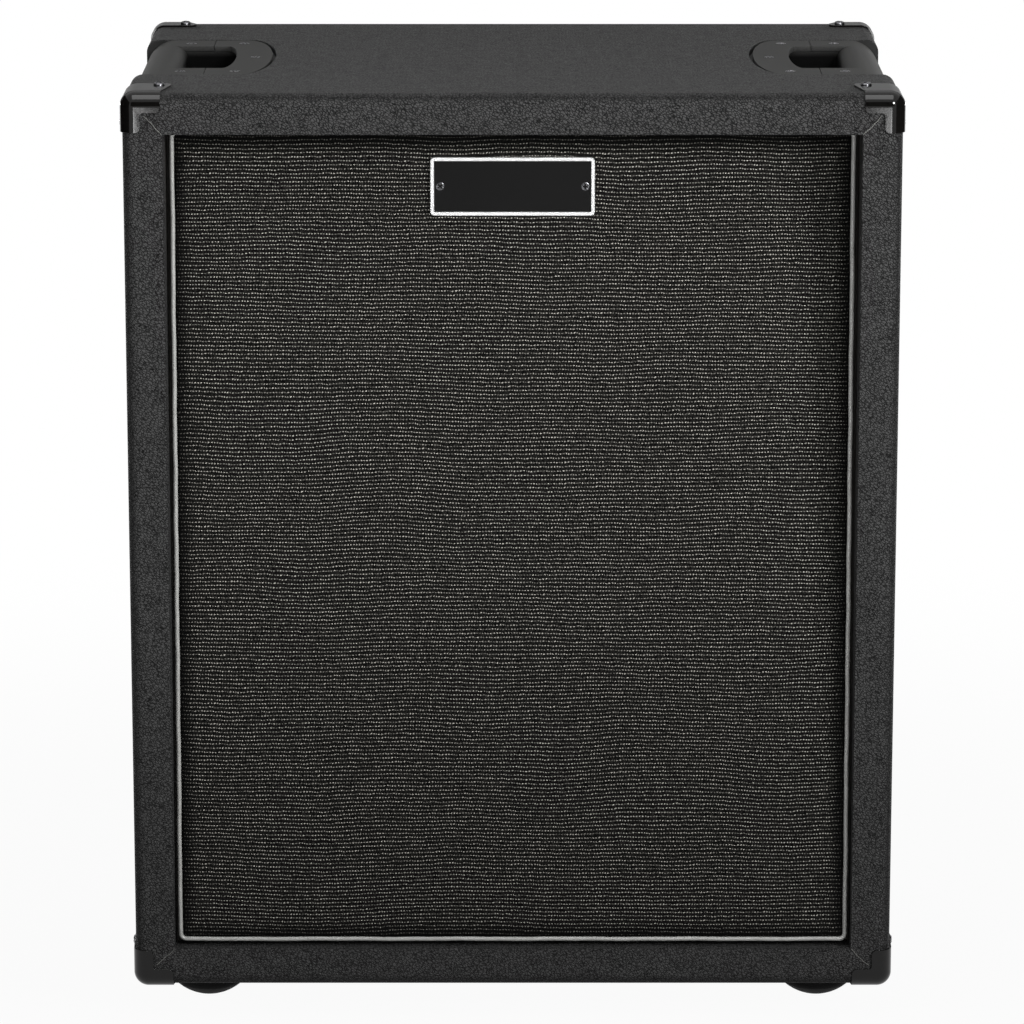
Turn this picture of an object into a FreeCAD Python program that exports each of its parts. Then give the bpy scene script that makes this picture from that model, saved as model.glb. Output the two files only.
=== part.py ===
"""Closed-back guitar speaker cabinet with two speakers, built as its real pieces.

Millimetres. +Z is up, the front faces -Y, and the origin is on the floor under the middle of the cabinet.
"""

import FreeCAD
import Part

import math
import os

V = FreeCAD.Vector

# Covered box, without its feet
CABINET_WIDTH = 600.0
CABINET_HEIGHT = 716.0
CABINET_DEPTH = 400.0
EDGE_RADIUS = 10.0
BORDER_WIDTH = 31.6
BORDER_EDGE_RADIUS = 1.2

# Clearances that many pieces share, and the overrun of every cut
GLUE_LINE = 0.1
FIT_GAP = 0.3
OVERRUN = 30.0

# Carcass
PANEL_THICKNESS = 18.0
FINGER_COUNT = 11
COVERING_THICKNESS = 0.8
BAFFLE_THICKNESS = 18.0
BAFFLE_GAP = 0.5
BACK_PANEL_THICKNESS = 15.0
BACK_PANEL_RECESS = 6.0
BACK_PANEL_GAP = 0.8
BACK_PANEL_CORNER_RADIUS = 3.0
CLEAT_WIDTH = 20.0
CLEAT_DEPTH = 20.0

# Grille
GRILLE_RECESS = 5.0
GRILLE_GAP = 2.0
GRILLE_LEAN = 34.0
GRILLE_CORNER_RADIUS = 6.8
GRILLE_FRAME_EDGE_RADIUS = 1.5
PIPING_DIAMETER = 4.0
PIPING_STAND = 1.2
CLOTH_THICKNESS = 0.8
GRILLE_FRAME_DEPTH = 12.0
GRILLE_FRAME_WIDTH = 28.0
PAD_THICKNESS = 3.5
PAD_LENGTH = 60.0
PAD_WIDTH = 18.0
PAD_ACROSS_COUNT = 2
PAD_UP_COUNT = 3

# Badge
BADGE_WIDTH = 128.0
BADGE_HEIGHT = 45.8
BADGE_DROP = 78.0
BADGE_THICKNESS = 2.0
BADGE_RIM_WIDTH = 3.3
BADGE_RIM_HEIGHT = 1.0
BADGE_CORNER_RADIUS = 3.0
BADGE_SCREW_INSET = 7.7
BADGE_TONGUE_MARGIN = 8.0

# Corner protectors
CORNER_THICKNESS = 1.6
CORNER_LEG_LENGTH = 30.0
CORNER_LEG_WIDTH = 14.5
CORNER_LEG_END_RADIUS = 4.0
CORNER_LEG_FILLET = 2.5
CORNER_LOBE_RADIUS = 9.0
CORNER_LOBE_INSET = 27.0
FRONT_LOBE_SETBACK = 38.0
REAR_LOBE_SETBACK = 20.0

# Edge handles
HANDLE_LENGTH = 189.0
HANDLE_REACH = 107.0
HANDLE_PLATE = 4.0
HANDLE_SINK = 0.2
HANDLE_SIDE_GAP = 1.2
HANDLE_TIP_GAP = 3.2
HANDLE_CORNER_RADIUS = 24.0
HANDLE_SEAM = 57.0
HANDLE_SEAM_GAP = 0.5
HANDLE_END_DEPTH = 23.0
MOUTH_END_MARGIN = 34.5
MOUTH_TIP_MARGIN = 28.6
MOUTH_END_DEPTH = 9.0
END_BEND_COUNT = 8
END_BEND_SHARE = 0.96
BAR_THICKNESS = 36.0
BAR_INNER_RADIUS = 11.5
DISH_WALL = 3.0
HANDLE_SCREW_END_INSET = 17.5
HANDLE_SCREW_SEAM_INSET = 19.0
HANDLE_SCREW_FAR_INSET = 26.0
HANDLE_SCREW_TIP_INSET = 13.0

# Rubber feet
FOOT_HEIGHT = 25.0
FOOT_RADIUS = 28.0
FOOT_DOME_HEIGHT = 9.5
FOOT_FLAT_RADIUS = 13.0
FOOT_EDGE_RADIUS = 4.0
FOOT_INSET_SIDE = 55.0
FOOT_INSET_FRONT = 69.0
FOOT_WELL_RADIUS = 7.0
FOOT_WELL_DEPTH = 11.0

# Jack plate and jacks
JACK_PLATE_WIDTH = 118.0
JACK_PLATE_HEIGHT = 74.0
JACK_PLATE_THICKNESS = 1.6
JACK_PLATE_CORNER_RADIUS = 8.0
JACK_PLATE_SCREW_INSET = 8.0
JACK_PLATE_DROP = 90.0
JACK_SPACING = 46.0
JACK_BORE_RADIUS = 3.25
JACK_BORE_DEPTH = 32.0
JACK_BUSH_RADIUS = 4.8
JACK_BUSH_STAND = 4.6
JACK_NUT_RADIUS = 7.4
JACK_NUT_THICKNESS = 2.4
JACK_BODY_SIZE = 21.0
JACK_BODY_LENGTH = 34.0
JACK_LUG_WIDTH = 4.0
JACK_LUG_THICKNESS = 0.8
JACK_LUG_LENGTH = 9.0
JACK_LUG_OFFSET = 6.0

# Speakers
SPEAKER_WALL_GAP = 28.1
SPEAKER_PAIR_GAP = 58.5
CUTOUT_INSET = 13.5
FRAME_WALL = 2.0
GASKET_THICKNESS = 3.0
GASKET_WIDTH = 14.6
RIM_INSET = 24.0
RIM_DEPTH = 17.0
SHELF_OUTER_RADIUS = 68.0
SHELF_INNER_RADIUS = 58.0
SHELF_DEPTH = 58.0
FLOOR_DEPTH = 80.0
FLOOR_BORE_RADIUS = 30.0
WINDOW_COUNT = 6
WINDOW_INNER_RADIUS = 77.0
WINDOW_INSET = 33.0
WINDOW_SWEEP_SHARE = 0.66
CONE_INSET = 33.0
CONE_EDGE_WIDTH = 5.0
CONE_EDGE_DEPTH = 7.0
CONE_NECK_DEPTH = 52.0
CONE_BOW = 3.0
CONE_PAPER = 1.0
DUST_CAP_RADIUS = 30.0
DUST_CAP_RISE = 11.0
DUST_CAP_SHEET = 0.8
COIL_FORMER_RADIUS = 22.0
COIL_FORMER_WALL = 0.4
COIL_WIRE_WALL = 0.6
COIL_WIRE_HEIGHT = 12.0
COIL_GAP = 0.4
COIL_TAIL = 1.0
SURROUND_SHEET = 0.8
SURROUND_LEDGE = 6.0
SURROUND_WAVE_COUNT = 3
SURROUND_WAVE_HEIGHT = 1.4
SPIDER_SHEET = 0.8
SPIDER_COLLAR = 3.0
SPIDER_WAVE_COUNT = 7
SPIDER_WAVE_HEIGHT = 1.5
TOP_PLATE_RADIUS = 60.0
TOP_PLATE_THICKNESS = 8.0
MAGNET_RADIUS = 78.0
MAGNET_BORE_RADIUS = 31.0
MAGNET_THICKNESS = 20.0
BACK_PLATE_RADIUS = 70.0
BACK_PLATE_THICKNESS = 8.0
POLE_VENT_RADIUS = 7.0
BOLT_COUNT = 8
BOLT_INSET = 6.5
BOLT_RADIUS = 2.5
BOLT_HEAD_RADIUS = 6.0
BOLT_HEAD_HEIGHT = 2.6
BOLT_NUT_RADIUS = 4.6
BOLT_NUT_HEIGHT = 4.0
BOLT_TAIL = 3.0
STRIP_WIDTH = 32.0
STRIP_HEIGHT = 14.0
STRIP_THICKNESS = 2.0
LUG_WIDTH = 6.3
LUG_THICKNESS = 0.8
LUG_LENGTH = 10.0
LUG_SPACING = 16.0

# Screws: countersunk in panels, handles and badge, domed on the protectors
PANEL_SCREW_RADIUS = 2.0
PANEL_SCREW_HEAD_RADIUS = 4.2
PANEL_SCREW_HEAD_DEPTH = 2.6
PANEL_SCREW_BITE = 14.0
BACK_SCREW_ACROSS_COUNT = 4
BACK_SCREW_UP_COUNT = 5
BAFFLE_SCREW_ACROSS_COUNT = 4
BAFFLE_SCREW_UP_COUNT = 5
SMALL_SCREW_RADIUS = 1.5
SMALL_SCREW_HEAD_RADIUS = 3.2
SMALL_SCREW_HEAD_DEPTH = 1.6
SMALL_SCREW_BITE = 9.0
HANDLE_SCREW_LENGTH = 16.0
DOME_SCREW_HEAD_RADIUS = 4.4
DOME_SCREW_HEAD_HEIGHT = 2.4
DOME_SCREW_RADIUS = 1.9
DOME_SCREW_BITE = 13.0
WELL_SCREW_HEAD_HEIGHT = 3.0

# Planes and half sizes that follow from the sizes above
SKIN = COVERING_THICKNESS + GLUE_LINE
HALF_WIDTH = CABINET_WIDTH / 2
FRONT_Y = -CABINET_DEPTH / 2
BACK_Y = CABINET_DEPTH / 2
BOTTOM_Z = FOOT_HEIGHT
TOP_Z = FOOT_HEIGHT + CABINET_HEIGHT
MIDDLE_Z = FOOT_HEIGHT + CABINET_HEIGHT / 2
CARCASS_HALF_WIDTH = HALF_WIDTH - SKIN
CARCASS_HALF_HEIGHT = CABINET_HEIGHT / 2 - SKIN
CARCASS_FRONT_Y = FRONT_Y + SKIN
CARCASS_BACK_Y = BACK_Y - SKIN
ROOM_HALF_WIDTH = CARCASS_HALF_WIDTH - PANEL_THICKNESS
ROOM_HALF_HEIGHT = CARCASS_HALF_HEIGHT - PANEL_THICKNESS
OPENING_HALF_WIDTH = HALF_WIDTH - BORDER_WIDTH
OPENING_HALF_HEIGHT = CABINET_HEIGHT / 2 - BORDER_WIDTH
RAIL_WIDTH = BORDER_WIDTH - PANEL_THICKNESS - SKIN - SKIN
CLOTH_FRONT_Y = FRONT_Y + GRILLE_RECESS + PIPING_STAND
FRAME_FRONT_Y = CLOTH_FRONT_Y + CLOTH_THICKNESS + GLUE_LINE
FRAME_BACK_Y = FRAME_FRONT_Y + GRILLE_FRAME_DEPTH
BAFFLE_FRONT_Y = FRAME_BACK_Y + PAD_THICKNESS
BAFFLE_BACK_Y = BAFFLE_FRONT_Y + BAFFLE_THICKNESS
BACK_PANEL_OUT_Y = BACK_Y - BACK_PANEL_RECESS
BACK_PANEL_IN_Y = BACK_PANEL_OUT_Y - BACK_PANEL_THICKNESS
PIPING_RADIUS = PIPING_DIAMETER / 2
GRILLE_HALF_WIDTH = OPENING_HALF_WIDTH - GRILLE_GAP
GRILLE_HALF_HEIGHT = OPENING_HALF_HEIGHT - GRILLE_GAP
CLOTH_INSET = PIPING_DIAMETER + GLUE_LINE
FRAME_INSET = CLOTH_INSET + CLOTH_THICKNESS + GLUE_LINE
FRAME_FLOOR_BACK = FLOOR_DEPTH + FRAME_WALL
MAGNET_DEPTH = FRAME_FLOOR_BACK + TOP_PLATE_THICKNESS
BACK_PLATE_DEPTH = MAGNET_DEPTH + MAGNET_THICKNESS
MOUTH_LENGTH = HANDLE_LENGTH - MOUTH_END_MARGIN - MOUTH_END_MARGIN
MOUTH_REACH = HANDLE_REACH - MOUTH_TIP_MARGIN
BADGE_Z = TOP_Z - BADGE_DROP
JACK_Z = MIDDLE_Z - JACK_PLATE_DROP
JACK_SCREW_LENGTH = JACK_PLATE_THICKNESS + SMALL_SCREW_BITE
COIL_MIDDLE_DEPTH = FRAME_FLOOR_BACK + TOP_PLATE_THICKNESS / 2

# Two equal speakers on a diagonal, as large as the room inside and their gaps allow
REACH_SIDE = ROOM_HALF_WIDTH - SPEAKER_WALL_GAP
REACH_UP = ROOM_HALF_HEIGHT - SPEAKER_WALL_GAP
REACH_SUM = REACH_SIDE + REACH_UP + SPEAKER_PAIR_GAP / 2
REACH_SQUARES = REACH_SIDE**2 + REACH_UP**2 - (SPEAKER_PAIR_GAP / 2) ** 2
FLANGE_RADIUS = REACH_SUM - math.sqrt(REACH_SUM**2 - REACH_SQUARES)
SPEAKER_OFFSET_SIDE = REACH_SIDE - FLANGE_RADIUS
SPEAKER_OFFSET_UP = REACH_UP - FLANGE_RADIUS
CUTOUT_RADIUS = FLANGE_RADIUS - CUTOUT_INSET
GASKET_INNER_RADIUS = FLANGE_RADIUS - GASKET_WIDTH
RIM_RADIUS = FLANGE_RADIUS - RIM_INSET
WINDOW_OUTER_RADIUS = FLANGE_RADIUS - WINDOW_INSET
CONE_RADIUS = FLANGE_RADIUS - CONE_INSET
BOLT_CIRCLE_RADIUS = FLANGE_RADIUS - BOLT_INSET
SPEAKER_PLACES = {
    "upper": (-SPEAKER_OFFSET_SIDE, MIDDLE_Z + SPEAKER_OFFSET_UP, 1),
    "lower": (SPEAKER_OFFSET_SIDE, MIDDLE_Z - SPEAKER_OFFSET_UP, -1),
}
JACK_PLACES = {"input_jack": -JACK_SPACING / 2, "link_jack": JACK_SPACING / 2}
X_AXIS = V(1, 0, 0)
Y_AXIS = V(0, 1, 0)
Z_AXIS = V(0, 0, 1)
MIDDLE = V(0, 0, MIDDLE_Z)

# Lean of the baffle and all it carries, about its lowest row of screws
LEAN_ANGLE = math.degrees(math.atan2(GRILLE_LEAN, GRILLE_HALF_HEIGHT + GRILLE_HALF_HEIGHT))
LEAN_PIVOT = V(0, (BAFFLE_FRONT_Y + BAFFLE_BACK_Y) / 2, MIDDLE_Z - ROOM_HALF_HEIGHT + RAIL_WIDTH / 2)


def save(name, *shapes):
    """Write all solids of the shapes as one named piece."""
    solids = [solid for shape in shapes for solid in shape.Solids]
    body = solids[0] if len(solids) == 1 else Part.makeCompound(solids)
    body.exportStep(os.path.join("parts", name + ".step"))


def leaned(shape):
    """The shape turned back as the baffle leans."""
    return shape.rotated(LEAN_PIVOT, X_AXIS, -LEAN_ANGLE)


def save_leaned(name, *shapes):
    """Write a piece that the baffle carries, leaned back with it."""
    save(name, *[leaned(shape) for shape in shapes])


def block(x, y, z):
    """Box between a low and a high value on each axis."""
    lengths = [high - low for low, high in (x, y, z)]
    return Part.makeBox(*lengths, V(x[0], y[0], z[0]))


def rod(start, along, radius, length):
    """Cylinder from a start point along a direction."""
    return Part.makeCylinder(radius, length, start, along)


def on_xy(z):
    """Place outline points on a level plane."""
    return lambda p, q: V(p, q, z)


def on_xz(y):
    """Place outline points on a plane that faces front and back."""
    return lambda p, q: V(p, y, q)


def on_yz(x):
    """Place outline points on a plane that faces the sides."""
    return lambda p, q: V(x, p, q)


def outline(corners, place):
    """Closed wire through (p, q, radius) corners, each rounded by its own radius."""
    bends = []
    for index, (p, q, radius) in enumerate(corners):
        corner = V(p, q, 0)
        before = V(*corners[index - 1][:2], 0) - corner
        after = V(*corners[(index + 1) % len(corners)][:2], 0) - corner
        half_angle = before.getAngle(after) / 2
        before.normalize()
        after.normalize()
        inward = (before + after).normalize()
        trim = radius / math.tan(half_angle)
        crown = radius / math.sin(half_angle) - radius
        bends.append((corner + before * trim, corner + inward * crown, corner + after * trim, radius))
    edges = []
    for index, (start, crown, end, radius) in enumerate(bends):
        points = [place(point.x, point.y) for point in (start, crown, end)]
        if radius > 0:
            edges.append(Part.Arc(*points).toShape())
        following = bends[(index + 1) % len(bends)][0]
        if (following - end).Length > Part.Precision.confusion():
            edges.append(Part.LineSegment(points[2], place(following.x, following.y)).toShape())
    return Part.Wire(edges)


def slab(corners, place, along):
    """Solid made by moving a rounded outline along a vector."""
    return Part.Face(outline(corners, place)).extrude(along)


def rectangle(half_width, half_height, radius, middle_q=0.0):
    """Corners of a rectangle about the middle, with one corner radius."""
    low = middle_q - half_height
    high = middle_q + half_height
    return [
        (-half_width, low, radius),
        (half_width, low, radius),
        (half_width, high, radius),
        (-half_width, high, radius),
    ]


def upright_plate(half_width, half_height, radius, y, middle_z=MIDDLE_Z):
    """Rounded rectangular plate that faces the front, between two depths."""
    return slab(rectangle(half_width, half_height, radius, middle_z), on_xz(y[0]), V(0, y[1] - y[0], 0))


def turned(edges):
    """Solid of revolution about the depth axis from profile edges in radius and depth."""
    face = Part.Face(Part.Wire(Part.__sortEdges__(edges)))
    return face.revolve(V(0, 0, 0), Y_AXIS, 360)


def turned_polygon(points):
    """Solid of revolution about the depth axis from straight-sided profile points."""
    ring = [V(radius, depth, 0) for radius, depth in points]
    return turned([Part.LineSegment(a, b).toShape() for a, b in zip(ring, ring[1:] + ring[:1])])


def turned_sheet(path, thickness):
    """Sheet of revolution of even axial thickness behind a path of (start, crown, end) curves."""
    edges = []
    for shift in (V(0, 0, 0), V(0, thickness, 0)):
        for start, crown, end in path:
            points = [V(*point, 0) + shift for point in (start, crown, end)]
            straight = crown[1] == start[1] == end[1]
            curve = Part.LineSegment(points[0], points[2]) if straight else Part.Arc(*points)
            edges.append(curve.toShape())
    for point in (path[0][0], path[-1][2]):
        edges.append(Part.LineSegment(V(*point, 0), V(*point, 0) + V(0, thickness, 0)).toShape())
    return turned(edges)


def envelope(growth):
    """Covered box grown on every side, with its rounded edges."""
    half = HALF_WIDTH + growth
    body = block(
        (-half, half),
        (FRONT_Y - growth, BACK_Y + growth),
        (BOTTOM_Z - growth, TOP_Z + growth),
    )
    return body.makeFillet(EDGE_RADIUS + growth, body.Edges)


def around(half_width, half_height, across, up):
    """Points spread along the four sides of an upright rectangle, as (x, height above the middle)."""
    points = []
    for index in range(across):
        x = half_width * (2 * (index + 1) / (across + 1) - 1)
        points += [(x, half_height), (x, -half_height)]
    for index in range(up):
        z = half_height * (2 * (index + 1) / (up + 1) - 1)
        points += [(half_width, z), (-half_width, z)]
    return points


def countersunk(at, into, head_radius, head_depth, radius, length):
    """Screw with a flat flush head."""
    head = Part.makeCone(head_radius, radius, head_depth, at, into)
    return head.fuse(rod(at, into, radius, length)).removeSplitter()


def domed(at, into, head_radius, head_height, radius, length):
    """Screw with a rounded head that stands on the surface at its point."""
    head = rod(at - into * head_height, into, head_radius, head_height)
    rim = [edge for edge in head.Edges if (edge.CenterOfMass - at + into * head_height).Length < FIT_GAP]
    head = head.makeFillet(head_height / 2, [edge for edge in rim if len(edge.Vertexes) == 1])
    return head.fuse(rod(at, into, radius, length)).removeSplitter()


def sink(at, into, head_radius, head_depth, radius, length):
    """Clearance for a countersunk screw."""
    return countersunk(at, into, head_radius + GLUE_LINE, head_depth + GLUE_LINE, radius + GLUE_LINE, length)


def shank_hole(at, into, radius, length):
    """Clearance for a screw shank, open at the surface that it enters."""
    return rod(at - into * OVERRUN, into, radius + GLUE_LINE, OVERRUN + length + GLUE_LINE)


def lobe_screw_places(side, depth, up, setback):
    """Surface point and inward direction of the two screws of one protector."""
    y = depth * (BACK_Y - setback)
    level = V(side * (HALF_WIDTH - CORNER_LOBE_INSET), y, MIDDLE_Z + up * CABINET_HEIGHT / 2)
    flank = V(side * HALF_WIDTH, y, MIDDLE_Z + up * (CABINET_HEIGHT / 2 - CORNER_LOBE_INSET))
    return [(level, V(0, 0, -up)), (flank, V(-side, 0, 0))]


def corner_screw_places():
    """Surface point and inward direction of every protector screw."""
    places = []
    for depth, setback in ((-1, FRONT_LOBE_SETBACK), (1, REAR_LOBE_SETBACK)):
        for side in (-1, 1):
            for up in (-1, 1):
                places += lobe_screw_places(side, depth, up, setback)
    return places


def handle_screw_places():
    """Surface point and inward direction of each screw of the left handle."""
    spots = [(HANDLE_REACH - HANDLE_SCREW_TIP_INSET, 0.0)]
    end = HANDLE_LENGTH / 2 - HANDLE_SCREW_END_INSET
    for reach in (HANDLE_SEAM - HANDLE_SCREW_SEAM_INSET, HANDLE_REACH - HANDLE_SCREW_FAR_INSET):
        spots += [(reach, -end), (reach, end)]
    places = []
    for reach, offset in spots:
        places.append((V(-HALF_WIDTH + reach, offset, TOP_Z - HANDLE_SINK), V(0, 0, -1)))
        places.append((V(-HALF_WIDTH + HANDLE_SINK, offset, TOP_Z - reach), V(1, 0, 0)))
    return places


def both_sides(places):
    """The places and their mirror images on the other side of the cabinet."""
    return places + [(V(-at.x, at.y, at.z), V(-into.x, into.y, into.z)) for at, into in places]


def foot_places():
    """Middle of each foot under the bottom face."""
    x = HALF_WIDTH - FOOT_INSET_SIDE
    y = BACK_Y - FOOT_INSET_FRONT
    return [V(side * x, depth * y, BOTTOM_Z) for side in (-1, 1) for depth in (-1, 1)]


def corner_block(inset, radius, half_length):
    """Wedge of the upper left edge behind a rounded corner line, along the depth."""
    far = HANDLE_REACH + OVERRUN
    corners = [(inset, inset, radius), (far, inset, 0), (far, far, 0), (inset, far, 0)]
    shifted = [(p - HALF_WIDTH, TOP_Z - q, bend) for p, q, bend in corners]
    return slab(shifted, on_xz(-half_length), V(0, 2 * half_length, 0))


def tongue(start, reach, depth, half_length):
    """Corners of a plate with a half-elliptical end, as (reach from the edge, offset along the depth)."""
    step = math.pi / END_BEND_COUNT
    spread = 1 / math.cos(step / 2)
    corners = [(start, -half_length, 0)]
    for index in range(END_BEND_COUNT):
        low = index * step - math.pi / 2
        high = low + step
        middle = (low + high) / 2
        corner = V(depth * spread * math.cos(middle), half_length * spread * math.sin(middle), 0)
        before, after = [V(depth * math.cos(t), half_length * math.sin(t), 0) - corner for t in (low, high)]
        trim = END_BEND_SHARE * min(before.Length, after.Length)
        bend = trim * math.tan(before.getAngle(after) / 2)
        corners.append((reach - depth + corner.x, corner.y, bend))
    return corners + [(start, half_length, 0)]


def edge_prisms(corners):
    """The same outline carried down from the top face and inward from the left face."""
    far = HANDLE_REACH + OVERRUN
    level = [(p - HALF_WIDTH, q, bend) for p, q, bend in corners]
    flank = [(q, TOP_Z - p, bend) for p, q, bend in corners]
    down = slab(level, on_xy(TOP_Z + OVERRUN), V(0, 0, -far - OVERRUN))
    inward = slab(flank, on_yz(-HALF_WIDTH - OVERRUN), V(far + OVERRUN, 0, 0))
    return down, inward


def handle_plan(tip_gap, side_gap):
    """Space over and beside the upper left edge inside the handle plate's outline on both faces."""
    half_length = HANDLE_LENGTH / 2 + side_gap
    down, inward = edge_prisms(
        tongue(-OVERRUN, HANDLE_REACH + tip_gap, HANDLE_END_DEPTH + tip_gap, half_length)
    )
    return down.common(inward)


def mouth_prisms():
    """The two finger mouths, through the top flange and through the side flange."""
    return edge_prisms(tongue(HANDLE_SINK + BAR_THICKNESS, MOUTH_REACH, MOUTH_END_DEPTH, MOUTH_LENGTH / 2))


def dish_radius():
    """Inner radius of the finger pocket about the middle of the bar."""
    drop = BAR_THICKNESS / 2 - HANDLE_PLATE
    return math.hypot(MOUTH_REACH - HANDLE_SINK - BAR_THICKNESS / 2, drop)


def pocket_rod(radius, half_length):
    """Round bar of space along the depth about the middle of the grip bar."""
    middle = HANDLE_SINK + BAR_THICKNESS / 2
    start = V(-HALF_WIDTH + middle, -half_length, TOP_Z - middle)
    return rod(start, Y_AXIS, radius, 2 * half_length)


def handle_cuts():
    """Seat for the handle plate and hole for its dish, to cut from panels and covering."""
    seat = HANDLE_SINK + HANDLE_PLATE + FIT_GAP + FIT_GAP
    radius = HANDLE_CORNER_RADIUS - HANDLE_PLATE - FIT_GAP - FIT_GAP
    wedge = corner_block(seat, radius, HANDLE_LENGTH)
    hole_half = MOUTH_LENGTH / 2 + DISH_WALL + FIT_GAP + FIT_GAP
    plate_seat = handle_plan(HANDLE_TIP_GAP, HANDLE_SIDE_GAP).cut(wedge)
    left = [plate_seat, pocket_rod(dish_radius() + DISH_WALL + FIT_GAP, hole_half)]
    return left + [shape.mirror(MIDDLE, X_AXIS) for shape in left]


def make_handles():
    """Grip and dish mouldings of both handles."""
    half = HANDLE_LENGTH
    mouth_half = MOUTH_LENGTH / 2
    under = HANDLE_SINK + HANDLE_PLATE
    inner_radius = HANDLE_CORNER_RADIUS - HANDLE_PLATE
    plan = handle_plan(0, 0)
    outer = corner_block(HANDLE_SINK, HANDLE_CORNER_RADIUS, half).common(plan)
    mouths = mouth_prisms()
    screws = handle_screw_places()
    head = (PANEL_SCREW_HEAD_RADIUS, PANEL_SCREW_HEAD_DEPTH, PANEL_SCREW_RADIUS, HANDLE_SCREW_LENGTH)
    holes = [sink(at, into, *head) for at, into in screws]
    near_side = (-HALF_WIDTH - OVERRUN, -HALF_WIDTH + HANDLE_SEAM)
    near_top = (TOP_Z - HANDLE_SEAM, TOP_Z + OVERRUN)
    far_side = (-HALF_WIDTH - OVERRUN, -HALF_WIDTH + HANDLE_SEAM + HANDLE_SEAM_GAP)
    far_top = (TOP_Z - HANDLE_SEAM - HANDLE_SEAM_GAP, TOP_Z + OVERRUN)
    along = (-half, half)

    bar_end = HANDLE_SINK + BAR_THICKNESS
    bar_corners = [
        (HANDLE_SINK, HANDLE_SINK, HANDLE_CORNER_RADIUS),
        (bar_end, HANDLE_SINK, BAR_INNER_RADIUS),
        (bar_end, bar_end, BAR_INNER_RADIUS),
        (HANDLE_SINK, bar_end, BAR_INNER_RADIUS),
    ]
    bar_corners = [(p - HALF_WIDTH, TOP_Z - q, radius) for p, q, radius in bar_corners]
    bar = slab(bar_corners, on_xz(-mouth_half), V(0, MOUTH_LENGTH, 0))
    frame = outer.cut(corner_block(under, inner_radius, half))
    frame = frame.common(block(near_side, along, near_top))
    frame = frame.cut(block(near_side, (-mouth_half, mouth_half), near_top))
    grip = frame.fuse(bar).removeSplitter().cut(holes)

    lining = under + FIT_GAP
    wedge = corner_block(lining, inner_radius - FIT_GAP, half)
    flange = outer.cut(wedge).cut([block(far_side, along, far_top), *mouths])
    cavity_half = mouth_half + FIT_GAP
    shell = pocket_rod(dish_radius() + DISH_WALL, cavity_half + DISH_WALL).common(wedge)
    shell = shell.cut(pocket_rod(dish_radius(), cavity_half))
    dish = flange.fuse(shell).removeSplitter().cut(holes)

    save("left_handle_grip", grip)
    save("left_handle_dish", dish)
    save("right_handle_grip", grip.mirror(MIDDLE, X_AXIS))
    save("right_handle_dish", dish.mirror(MIDDLE, X_AXIS))
    save("handle_screws", *[countersunk(at, into, *head) for at, into in both_sides(screws)])


def finger_slots(x, z, first):
    """Every second finger space along the depth of a corner joint."""
    pitch = (CARCASS_BACK_Y - CARCASS_FRONT_Y) / FINGER_COUNT
    spaces = []
    for index in range(first, FINGER_COUNT, 2):
        low = CARCASS_FRONT_Y + index * pitch
        spaces.append(block(x, (low, low + pitch), z))
    return spaces


def make_panels():
    """Top, bottom and side panels with finger joints, rounded edges and every hole."""
    form = envelope(-SKIN)
    holes = [shank_hole(at, into, DOME_SCREW_RADIUS, DOME_SCREW_BITE) for at, into in corner_screw_places()]
    holes += [
        shank_hole(at, into, PANEL_SCREW_RADIUS, HANDLE_SCREW_LENGTH)
        for at, into in both_sides(handle_screw_places())
    ]
    holes += [shank_hole(at, Z_AXIS, PANEL_SCREW_RADIUS, PANEL_SCREW_BITE) for at in foot_places()]
    cuts = handle_cuts() + holes
    depth = (CARCASS_FRONT_Y, CARCASS_BACK_Y)
    wide = (-CARCASS_HALF_WIDTH, CARCASS_HALF_WIDTH)
    low = MIDDLE_Z - CARCASS_HALF_HEIGHT
    high = MIDDLE_Z + CARCASS_HALF_HEIGHT
    levels = {
        "bottom_panel": (low, low + PANEL_THICKNESS),
        "top_panel": (high - PANEL_THICKNESS, high),
    }
    flanks = {
        "left_side_panel": (-CARCASS_HALF_WIDTH, -ROOM_HALF_WIDTH),
        "right_side_panel": (ROOM_HALF_WIDTH, CARCASS_HALF_WIDTH),
    }
    for name, z in levels.items():
        slots = [slot for x in flanks.values() for slot in finger_slots(x, z, 1)]
        save(name, block(wide, depth, z).cut(slots).common(form).cut(cuts))
    for name, x in flanks.items():
        slots = [slot for z in levels.values() for slot in finger_slots(x, z, 0)]
        save(name, block(x, depth, (low, high)).cut(slots).common(form).cut(cuts))


def ring_of_bars(half_width, half_height, bar_width, y):
    """Four bars inside an upright rectangle: two across, and two between them."""
    bars = []
    for up in (-1, 1):
        z = sorted((MIDDLE_Z + up * half_height, MIDDLE_Z + up * (half_height - bar_width)))
        bars.append(block((-half_width, half_width), y, z))
    for side in (-1, 1):
        x = sorted((side * half_width, side * (half_width - bar_width)))
        z = (MIDDLE_Z - half_height + bar_width, MIDDLE_Z + half_height - bar_width)
        bars.append(block(x, y, z))
    return bars


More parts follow.
